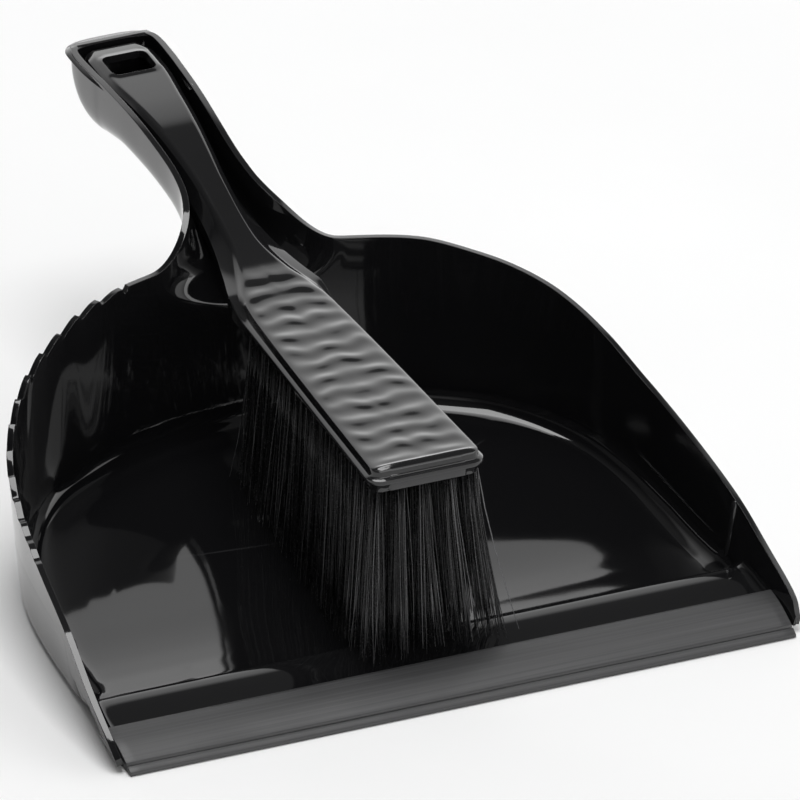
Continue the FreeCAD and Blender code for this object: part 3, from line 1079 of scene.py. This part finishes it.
@dataclass
class RubberLip:
    """Extruded lip that grips the front edge of the pan and wipes the floor."""

    half_width: float = 115.0
    front: float = -149.0
    rear: float = -128.1
    step: float = -145.8
    wiper: float = 1.1
    step_high: float = 2.9
    rear_high: float = 7.1
    slot_depth: float = 10.0
    slot_low: float = 2.0
    slot_high: float = 3.8
    crown: float = 0.9
    crown_steps: int = 12
    lengths: int = 60
    waviness: float = 0.12

    def profile(self) -> list[Point]:
        """Closed outline in the (y, z) plane, in millimetres, with a groove behind the wiper."""
        slot_end = self.rear - self.slot_depth
        corners = [(self.front, 0.0), (self.front + 0.1, self.wiper),
                   (self.step - 0.9, self.step_high - 0.6),
                   (self.step - 0.35, self.step_high - 0.65), (self.step - 0.2, self.step_high - 1.7),
                   (self.step + 0.2, self.step_high - 1.7), (self.step + 0.3, self.step_high - 0.3),
                   (self.step + 0.8, self.step_high + 0.1)]
        begin = self.step + 0.8
        for index in range(1, self.crown_steps):
            share = index / self.crown_steps
            y = begin + (self.rear - 0.4 - begin) * share
            rise = self.step_high + 0.1 + (self.rear_high - self.step_high - 0.1) * share
            corners.append((y, rise + self.crown * math.sin(math.pi * share)))
        corners += [(self.rear - 0.4, self.rear_high), (self.rear, self.rear_high - 0.4),
                    (self.rear, self.slot_high), (slot_end, self.slot_high), (slot_end, self.slot_low),
                    (self.rear, self.slot_low), (self.rear, 0.3), (self.rear - 0.3, 0.0)]
        return corners

    def build(self) -> bpy.types.Object:
        """Extrude the profile across the pan and dress it."""
        work = bmesh.new()
        corners = self.profile()
        edge = [work.verts.new(Vector((-self.half_width, y, z)) * MM) for y, z in corners]
        work.faces.new(edge)
        for index in range(self.lengths):
            open_face = max(work.faces, key=lambda f: f.calc_center_median().x if len(f.verts) > 4 else -1)
            made = bmesh.ops.extrude_face_region(work, geom=[open_face])
            moved = [item for item in made["geom"] if isinstance(item, bmesh.types.BMVert)]
            length = 2 * self.half_width / self.lengths * MM
            bmesh.ops.translate(work, verts=moved, vec=Vector((length, 0, 0)))
            if index > 0:
                bmesh.ops.delete(work, geom=[open_face], context="FACES_ONLY")
        wave_scale, above = 9.0, 1.4
        for vert in work.verts:
            wave = noise.noise(Vector((vert.co.x * wave_scale, 0.0, 3.7)))
            if vert.co.z > above * MM and vert.co.y < (self.rear - 0.1) * MM:
                vert.co.z += self.waviness * MM * wave
        piece = finish_mesh(work, "lip_strip")
        round_edges(piece, 0.25 * MM, 50)
        piece.data.materials.append(LIP_FINISH.make())
        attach(piece, "pan")
        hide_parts("rubber_lip")
        return piece


# ---------------------------------------------------------------- brush


@dataclass
class BrushShell:
    """Hand brush moulding: ribbed head and hollow handle as one sheet with a wall behind it.

    All sizes are in millimetres. The stations hold (y, half width, height of the widest line, half
    width of the flat top, height of the flat top, height of the lower edge).
    """

    wall: float = 2.4
    front: float = -120.5
    corner: float = 5.0
    head_end: float = 8.0
    head_fade: float = 16.0
    head_length: float = 124.0
    head_steps: int = 95
    neck_step: float = 2.4
    hole_start: float = 112.0
    hole_step: float = 0.9
    hole_end: float = 138.6
    heel_places: tuple[float, ...] = (139.4, 140.1, 140.5)
    across: int = 11
    edge_drop: float = 1.0
    edge_band: float = 2.0
    hole_place: float = 127.4
    hole_half_x: float = 7.75
    hole_half_y: float = 6.25
    hole_corner: float = 2.6
    hole_above: float = 90.0
    hole_bead: float = 0.3
    hole_bead_width: float = 1.4
    rib_pitch: float = 9.8
    rib_first: float = 12.4
    rib_last: float = -115.0
    rib_high: float = 0.46
    bar_high: float = 0.75
    bar_place: float = 3.6
    bar_width: float = 0.9
    plate_low: float = 65.0
    plate_high: float = 71.6
    stations: tuple[Point, ...] = (
        (-124, 20.6, 73.0, 19.4, 73.8, 65), (-13, 16.7, 73.0, 15.2, 73.8, 65),
        (3, 16.3, 73.4, 13.5, 74.4, 65.4), (17.6, 13.2, 74.3, 9.0, 75.8, 67),
        (33, 10.0, 76.2, 5.7, 78.8, 69.6), (45, 8.5, 78.3, 5.3, 82.2, 72.4),
        (58.7, 7.7, 80.5, 5.5, 86.4, 75.6), (75, 8.6, 83.2, 6.7, 90.6, 79.6),
        (88, 9.6, 84.8, 7.9, 93.0, 81.2), (103, 10.8, 85.8, 9.3, 94.4, 82.0),
        (124, 12.1, 86.4, 11.2, 95.2, 82.4), (134, 12.0, 87.2, 11.1, 95.4, 83.6),
        (140.7, 10.2, 92.2, 9.2, 95.0, 91.0))

    def profile(self, y: float) -> list[Point]:
        """Half edge profile of the handle's or the head's section, blended between the two.

        Args:
            y: Place along the set.

        Returns:
            Points (x, z) from the lower edge to the edge of the flat top.
        """
        wide, wide_z, flat, flat_z, bottom = by_key(self.stations, y)
        bead_low = wide_z - 0.32 * (wide_z - bottom)
        bead = min(0.8, 0.4 * (wide_z - bead_low))
        neck = [(wide - bead, bottom), (wide - bead, (bottom + bead_low) / 2), (wide - bead, bead_low),
                (wide - bead * 0.3, bead_low + bead * 0.45), (wide, bead_low + bead),
                (wide, (bead_low + bead + wide_z) / 2), (wide, wide_z)]
        edge_z = flat_z - self.edge_drop
        for share in (0.4, 0.85, 1.0):
            neck.append((wide + (flat - wide) * share, wide_z + (edge_z - wide_z) * share))
        neck += [(flat - 0.45 * self.edge_band, flat_z - 0.5 * self.edge_drop),
                 (flat - self.edge_band, flat_z)]
        head = [(wide - 2.2, bottom + 0.7), (wide - 1.8, 67.4), (wide - 1.2, 68.7), (wide - 0.2, 69.1),
                (wide, 69.8), (wide - 0.15, 70.6), (wide - 0.8, 71.0), (flat - 0.25, 71.1),
                (flat - 0.45, 71.7), (flat - 0.5, 72.9), (flat - 0.8, flat_z - 0.2), (flat - 1.5, flat_z)]
        share = clamped((self.head_end - y) / self.head_fade)
        share = share * share * (3 - 2 * share)
        return [(a + (c - a) * share, b + (d - b) * share) for (a, b), (c, d) in zip(neck, head)]

    def section(self, y: float, turn: float = 0.0) -> list[Vector]:
        """Cross-section from edge to edge.

        Args:
            y: Place along the set.
            turn: How far the section is swung round the front corners, in radians.

        Returns:
            Points in millimetres, left to right.
        """
        wide = by_key(self.stations, y)[0]
        half = []
        for x, z in self.profile(y):
            radius = self.corner - (wide - x)
            x = wide - self.corner + radius * math.cos(turn)
            half.append(Vector((x, y - radius * math.sin(turn), z)))
        edge = half[-1]
        for index in range(1, self.across + 1):
            x = edge.x * (1 - index / self.across)
            half.append(Vector((x, edge.y, edge.z + self.ribs(x / edge.x, x, edge.y))))
        mirrored = [Vector((-p.x, p.y, p.z)) for p in half]
        return mirrored + list(reversed(half))[1:]

    def ribs(self, across: float, x: float, y: float) -> float:
        """Height of the grip ribs on the head, wavy and fading towards the sides.

        Args:
            across: Share of the top's half width.
            x: Place across the set.
            y: Place along the set.

        Returns:
            Height above the flat top, with the straight bar at the front.
        """
        fade_in, fade_out = 5, 4
        edge = 1 - abs(across) ** 10
        bar = self.bar_high * math.exp(-(((y - self.front - self.bar_place) / self.bar_width) ** 2)) * edge
        if y > self.rib_first + fade_in:
            return 0.0
        phase = (y - self.rib_first) / self.rib_pitch
        sway = 0.09 * math.sin(x * 0.33 + 1.3 * phase) + 0.05 * math.sin(x * 0.61 - 0.7 * phase)
        crest = (0.5 + 0.5 * math.cos(2 * math.pi * (phase + sway))) ** 1.2
        swell = 0.85 + 0.25 * math.sin(x * 0.42 + 2.1 * round(phase))
        start = clamped((self.rib_first + fade_in - y) / fade_in)
        stop = clamped((y - self.rib_last + 3) / fade_out)
        return self.rib_high * crest * swell * start * stop * edge + bar

    def places(self) -> list[float]:
        """Places of the cross-sections along the brush."""
        places = []
        y = self.front + self.corner
        for index in range(self.head_steps):
            places.append(y + self.head_length * index / self.head_steps)
        y += self.head_length
        for stop, step in ((self.hole_start, self.neck_step), (self.hole_end, self.hole_step)):
            while y < stop:
                places.append(y)
                y += step
        return places + list(self.heel_places)

    def shell(self) -> bpy.types.Object:
        """Outer sheet of the brush, with its wall and the hanging hole."""
        bend = self.front + self.corner
        rows = [self.section(bend, math.radians(angle)) for angle in (90, 75, 60, 45, 30, 15)]
        rows += [self.section(y) for y in self.places()]
        edge = len(self.profile(bend))
        count = len(rows[0])

        def place(along: int, across: int) -> Vector:
            """Point of the sides and the top."""
            return rows[along][across] * MM

        def front_place(along: int, up: int) -> Vector:
            """Point of the front wall.

            Args:
                along: Number of the point across the brush.
                up: Number of the point from the lower edge up.

            Returns:
                Point in metres.
            """
            side = rows[0][up]
            top = rows[0][edge - 1 + along]
            return Vector((top.x, side.y, top.z if up == edge - 1 else side.z)) * MM

        work = bmesh.new()
        verts = add_sheet(work, len(rows), count, place)
        back = verts[len(rows) - 1::len(rows)]
        add_sheet(work, count - 2 * (edge - 1), edge, front_place)
        bmesh.ops.contextual_create(work, geom=back, mat_nr=0, use_smooth=True)
        self.open_hole(work)
        weld = 0.00003
        piece = finish_mesh(work, "brush_shell", weld)
        probe = max(piece.data.polygons, key=lambda f: f.center.z)
        if probe.normal.z < 0:
            piece.data.flip_normals()
        thicken(piece, self.wall * MM, True, even=False)
        round_edges(piece, 0.45 * MM, 35)
        smooth_surface(piece, 1)
        return piece

    def hole_distance(self, x: float, y: float) -> float:
        """Distance in plan from the rounded rectangle of the hanging hole.

        Args:
            x: Place across the set.
            y: Place along the set.

        Returns:
            Distance in millimetres, negative inside the hole.
        """
        dx = abs(x) - (self.hole_half_x - self.hole_corner)
        dy = abs(y - self.hole_place) - (self.hole_half_y - self.hole_corner)
        outside = math.hypot(max(dx, 0.0), max(dy, 0.0))
        return outside + min(max(dx, dy), 0.0) - self.hole_corner

    def open_hole(self, work: bmesh.types.BMesh) -> None:
        """Delete the top inside the hanging hole, fit the edge to it and raise a bead round it.

        Args:
            work: Mesh of the brush's outer sheet.
        """

        def distance(point: Vector) -> float:
            """Distance from the hole's edge in plan."""
            return self.hole_distance(point.x / MM, point.y / MM)

        above = self.hole_above * MM
        gone = [f for f in work.faces
                if f.calc_center_median().z > above and distance(f.calc_center_median()) < 0]
        rims = {e for f in gone for e in f.edges}
        inside = set(gone)
        rims = [e for e in rims if any(f not in inside for f in e.link_faces)]
        fitted = {v for e in rims for v in e.verts}
        bmesh.ops.delete(work, geom=gone, context="FACES")
        probe, rounds = 0.02, 4
        for vert in fitted:
            for _ in range(rounds):
                here = distance(vert.co)
                slope_x = (distance(vert.co + Vector((probe * MM, 0, 0))) - here) / probe
                slope_y = (distance(vert.co + Vector((0, probe * MM, 0))) - here) / probe
                vert.co.x -= here * slope_x * MM
                vert.co.y -= here * slope_y * MM
        for vert in work.verts:
            if vert.co.z > above:
                away = distance(vert.co)
                if away < self.hole_bead_width:
                    vert.co.z += self.hole_bead * MM * (1 - max(away, 0.0) / self.hole_bead_width) ** 0.5

    def plate(self) -> bpy.types.Object:
        """Block of the head that holds the tufts."""
        work = bmesh.new()
        columns, half_rows = 24, 4
        play, side_gap, rise = 1.2, 2.6, 0.9
        start, end = self.front + play, 2.0

        def place(along: int, across: int) -> Vector:
            """Point of the block's lower face.

            Args:
                along: Number of the point from the front.
                across: Number of the point from the left.

            Returns:
                Point in metres.
            """
            y = start + (end - start) * along / columns
            wide, _, _, _, bottom = by_key(self.stations, y)
            reach = max(self.front + self.corner - (y - play), 0.0)
            half = wide - side_gap - self.corner + math.sqrt(self.corner**2 - reach**2)
            return Vector((half * (across / half_rows - 1), y, bottom + rise)) * MM

        add_sheet(work, columns + 1, 2 * half_rows + 1, place)
        piece = finish_mesh(work, "brush_tuft_block")
        if piece.data.polygons[0].normal.z > 0:
            piece.data.flip_normals()
        thicken(piece, (self.plate_high - self.plate_low - rise) * MM, True)
        round_edges(piece, 0.4 * MM, 40)
        return piece

    def build(self) -> list[bpy.types.Object]:
        """Make the moulding and dress it."""
        pieces = [self.shell(), self.plate()]
        finish = BRUSH_FINISH.make()
        for piece in pieces:
            piece.data.materials.append(finish)
            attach(piece, "brush")
            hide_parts("brush_body")
        return pieces


@dataclass
class BristleField:
    """Twenty rows of tufts, each a fan of tapered filaments from its hole.

    All sizes are in millimetres. Each entry of under holds (y, height of what lies ahead of it).
    """

    rows: int = 20
    columns: int = 5
    per_tuft: int = 36
    first_row: float = -115.5
    pitch: float = 5.65
    margin: float = 3.8
    low: float = 65.0
    root_radius: float = 2.05
    tip_radius: float = 4.3
    front_splay: float = 8.0
    back_splay: float = 3.0
    side_splay: float = 0.3
    clearance: float = 0.7
    strand: float = 0.23
    scatter: Point = (0.9, 0.8)
    stray_share: float = 0.08
    stray: Point = (2.4, 1.6)
    unevenness: float = 1.1
    bow: float = 0.4
    knots: int = 5
    head_front: Point = (-124.0, 20.6)
    head_back: Point = (-13.0, 16.7)
    under: tuple[Point, ...] = ((-125.1, 7.3), (-106.6, 7.5), (-101.6, 5.2))
    under_floor: float = 2.3
    seed: int = 41

    def ground(self, y: float) -> float:
        """Height of what lies under a tip: the lip, the sill, or the climbing floor.

        Args:
            y: Place along the set.

        Returns:
            Height in millimetres.
        """
        for edge, height in self.under:
            if y < edge:
                return height
        return self.under_floor + floor_rise(y + 1.0)

    def roots(self, row: int) -> list[Point]:
        """Middles of one row's holes.

        Args:
            row: Number of the row, from the front.

        Returns:
            Places (x, y) in millimetres.
        """
        y = self.first_row + row * self.pitch
        (front_y, front_half), (back_y, back_half) = self.head_front, self.head_back
        half = front_half + (back_half - front_half) * (y - front_y) / (back_y - front_y) - self.margin
        middle = (self.columns - 1) / 2
        return [(half * (column - middle) / middle, y) for column in range(self.columns)]

    def strand_line(self, row: int, root: Point, dice: random.Random) -> list[Vector]:
        """Knots of one filament from its hole to its tip.

        Args:
            row: Number of the row, from the front.
            root: Middle of the filament's hole.
            dice: Source of the filament's own place, lean, length and bow.

        Returns:
            Points in millimetres.
        """
        share = row / (self.rows - 1)
        ahead = (1 - share) ** 2
        angle = dice.uniform(0, 2 * math.pi)
        reach = math.sqrt(dice.random())
        start = Vector((root[0] + self.root_radius * reach * math.cos(angle),
                        root[1] + self.root_radius * reach * math.sin(angle), self.low + 1.0))
        spread = self.tip_radius * reach * dice.uniform(0.75, 1.2)
        tip_x = root[0] * (1 + self.side_splay * (0.35 + 0.65 * ahead)) + spread * math.cos(angle)
        tip_y = root[1] - self.front_splay * ahead + self.back_splay * share**2 + spread * math.sin(angle)
        tip_x += dice.gauss(0, self.scatter[0])
        tip_y += dice.gauss(0, self.scatter[1])
        if dice.random() < self.stray_share:
            tip_x += dice.gauss(0, self.stray[0])
            tip_y += dice.gauss(0, self.stray[1])
        shorter = abs(dice.gauss(0, self.unevenness)) + dice.uniform(0, 0.5)
        tip = Vector((tip_x, tip_y, self.ground(tip_y) + self.clearance + shorter))
        bow = Vector((dice.gauss(0, self.bow), dice.gauss(0, self.bow), 0))
        knots = []
        for index in range(self.knots):
            t = index / (self.knots - 1)
            flat = start.lerp(tip, t**1.15)
            point = Vector((flat.x, flat.y, start.z + (tip.z - start.z) * t))
            knots.append(point + bow * math.sin(math.pi * t))
        return knots

    def row_mesh(self, row: int, dice: random.Random) -> bpy.types.Object:
        """All the filaments of one row as one piece.

        Args:
            row: Number of the row, from the front.
            dice: Source of every filament's own shape and of its painted highlight.

        Returns:
            The row's piece.
        """
        work = bmesh.new()
        shade = work.verts.layers.float.new("strand")
        for root in self.roots(row):
            for _ in range(self.per_tuft):
                knots = self.strand_line(row, root, dice)
                turn = dice.uniform(0, 2 * math.pi)
                radius = self.strand * dice.uniform(0.8, 1.15)
                tone = dice.random()

                def place(around: int, along: int) -> Vector:
                    """Point of the filament's skin.

                    Args:
                        around: Number of the point round the strand.
                        along: Number of the point from the hole.

                    Returns:
                        Point in metres.
                    """
                    taper = 1.0 - 0.55 * (along / (len(knots) - 1)) ** 3
                    angle = turn + 2 * math.pi * (around % 3) / 3
                    side = Vector((math.cos(angle), math.sin(angle), 0)) * radius * taper
                    return (knots[along] + side) * MM

                verts = add_sheet(work, 4, len(knots), place)
                for index, vert in enumerate(verts):
                    along = index // 4 / (len(knots) - 1)
                    # Painted highlight: a few strands, picked through tone**7, get the pale tone, more of
                    # it towards the tip.
                    vert[shade] = 0.03 + 0.97 * tone**7 * (0.5 + 0.5 * along)
        return self.close(work, f"bristles_row_{row + 1:02d}")

    @staticmethod
    def close(work: bmesh.types.BMesh, name: str) -> bpy.types.Object:
        """Weld the filaments' seams, cap their ends and store them.

        Args:
            work: Mesh of one row's filaments, used up.
            name: Name of the piece.

        Returns:
            The row's piece, with smooth sides and flat ends.
        """
        bmesh.ops.remove_doubles(work, verts=work.verts, dist=1e-7)
        open_edges = [edge for edge in work.edges if edge.is_boundary]
        bmesh.ops.holes_fill(work, edges=open_edges, sides=3)
        bmesh.ops.recalc_face_normals(work, faces=work.faces)
        for face in work.faces:
            face.smooth = len(face.verts) == 4
        return store_mesh(work, name)

    def build(self) -> list[bpy.types.Object]:
        """Make and dress every row."""
        finish = BRISTLE_FINISH.make()
        dice = random.Random(self.seed)
        pieces = []
        for row in range(self.rows):
            piece = self.row_mesh(row, dice)
            piece.data.materials.append(finish)
            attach(piece, "brush")
            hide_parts(f"tuft_row_{row + 1:02d}")
            pieces.append(piece)
        return pieces


@dataclass
class Anchors:
    """Flat wire anchors inside the head, kept from the design and given their metal."""

    node: str = "tuft_anchors"

    def build(self, nodes: dict[str, bpy.types.Object]) -> bpy.types.Object:
        """Dress the anchors' own node.

        Args:
            nodes: The frame's objects by name.

        Returns:
            The anchors' object.
        """
        piece = nodes[self.node]
        finish = WIRE_FINISH.make()
        if not piece.data.materials:
            piece.data.materials.append(finish)
        for slot in piece.material_slots:
            slot.material = finish
        return piece


# ---------------------------------------------------------------- studio


@dataclass(frozen=True)
class SoftBox:
    """One soft light, with its place, aim and size in metres and its power in watts."""

    name: str
    place: Point
    aim: Point
    size: Point
    power: float


@dataclass
class Studio:
    """Pale floor, white surroundings, an overhead soft box and the camera.

    The glow holds (upward part of the direction, brightness). Directions whose x is below
    side_dark get side_glow of it, and the fade ends at side_light.
    """

    azimuth: float = -23.04
    elevation: float = 28.91
    distance: float = 9.883
    lens: float = 1400.0
    sensor: float = 36.0
    far: float = 200.0
    aim: Point = (-0.0002, -0.0968, 0.0849)
    floor_size: float = 60.0
    floor_gap: float = 0.0002
    boxes: tuple[SoftBox, ...] = (
        SoftBox("overhead", (0.0, 0.1, 2.0), (0, 0, 0.05), (1.2, 1.2), 27.0),
    )
    side_glow: float = 0.08
    side_dark: float = -0.5
    side_light: float = -0.15
    glow: tuple[Point, ...] = (
        (0.0, 2.2), (0.26, 1.9), (0.48, 1.3), (0.64, 0.95), (0.69, 0.12), (1.0, 0.12))

    def camera(self) -> None:
        """Camera at the viewing angle, with a long lens."""
        data = bpy.data.cameras.new("camera")
        data.lens = self.lens
        data.sensor_width = self.sensor
        data.clip_end = self.far
        camera = bpy.data.objects.new("camera", data)
        bpy.context.scene.collection.objects.link(camera)
        turn = math.radians(self.azimuth)
        rise = math.radians(self.elevation)
        back = Vector((math.sin(turn) * math.cos(rise), -math.cos(turn) * math.cos(rise), math.sin(rise)))
        camera.location = Vector(self.aim) + back * self.distance
        camera.rotation_euler = back.to_track_quat("Z", "Y").to_euler()
        bpy.context.scene.camera = camera

    def floor(self) -> None:
        """Large plain floor just under the pan."""
        work = bmesh.new()
        bmesh.ops.create_grid(work, x_segments=1, y_segments=1, size=self.floor_size / 2)
        bmesh.ops.translate(work, verts=work.verts, vec=Vector((0, 0, -self.floor_gap)))
        floor = finish_mesh(work, "floor")
        nodes = Nodes("floor_white")
        nodes.shader.inputs["Roughness"].default_value = 0.85
        nodes.shader.inputs["Specular IOR Level"].default_value = 0.1
        nodes.tint(nodes.mottle(nodes.coords.outputs["Object"], 6.0, 3.0), (0.93, 0.93, 0.93),
                   (0.95, 0.95, 0.95), 0.3, 0.7)
        floor.data.materials.append(nodes.material)

    def surroundings(self) -> None:
        """White surroundings, brightest near the horizon and dim to the left, shown plainly."""
        world = bpy.data.worlds.new("white_room")
        world.use_nodes = True
        tree = world.node_tree
        background = tree.nodes["Background"]
        coords = tree.nodes.new("ShaderNodeTexCoord")
        split = tree.nodes.new("ShaderNodeSeparateXYZ")
        ramp = tree.nodes.new("ShaderNodeValToRGB")
        strongest = max(level for _, level in self.glow)
        points = ramp.color_ramp.elements
        while len(points) < len(self.glow):
            points.new(0.5)
        for point, (rise, level) in zip(points, self.glow):
            point.position = rise
            point.color = (level / strongest, level / strongest, level / strongest, 1.0)
        tree.links.new(coords.outputs["Generated"], split.inputs["Vector"])
        tree.links.new(split.outputs["Z"], ramp.inputs["Fac"])
        fade = tree.nodes.new("ShaderNodeMapRange")
        fade.inputs["From Min"].default_value = self.side_dark
        fade.inputs["From Max"].default_value = self.side_light
        fade.inputs["To Min"].default_value = self.side_glow
        fade.inputs["To Max"].default_value = 1.0
        tree.links.new(split.outputs["X"], fade.inputs["Value"])
        dim = tree.nodes.new("ShaderNodeMix")
        dim.data_type = "RGBA"
        dim.blend_type = "MULTIPLY"
        dim.inputs["Factor"].default_value = 1.0
        first_colour, second_colour, mixed_colour = 6, 7, 2
        tree.links.new(ramp.outputs["Color"], dim.inputs[first_colour])
        tree.links.new(fade.outputs["Result"], dim.inputs[second_colour])
        tree.links.new(dim.outputs[mixed_colour], background.inputs["Color"])
        background.inputs["Strength"].default_value = strongest
        bpy.context.scene.world = world
        bpy.context.scene.view_settings.view_transform = "Standard"

    def lights(self) -> None:
        """Place the soft boxes, unseen by the camera itself."""
        for box in self.boxes:
            data = bpy.data.lights.new(box.name, "AREA")
            data.shape = "RECTANGLE"
            data.size, data.size_y = box.size
            data.energy = box.power
            lamp = bpy.data.objects.new(box.name, data)
            bpy.context.scene.collection.objects.link(lamp)
            lamp.location = Vector(box.place)
            back = Vector(box.place) - Vector(box.aim)
            lamp.rotation_euler = back.to_track_quat("Z", "Y").to_euler()
            lamp.visible_camera = False

    def build(self) -> None:
        """Set up the whole studio."""
        self.camera()
        self.floor()
        self.surroundings()
        self.lights()


def main() -> None:
    """Build every piece in order and report each one."""
    logging.basicConfig(level=logging.INFO, format="%(name)s %(message)s")
    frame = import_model()
    Studio().build()
    pieces = PanShell().build()
    pieces.append(RubberLip().build())
    pieces += BrushShell().build()
    pieces += BristleField().build()
    pieces.append(Anchors().build(frame["nodes"]))
    for piece in pieces:
        LOG.info("%s: %d faces", piece.name, len(piece.data.polygons))


if __name__ == "__main__":
    main()
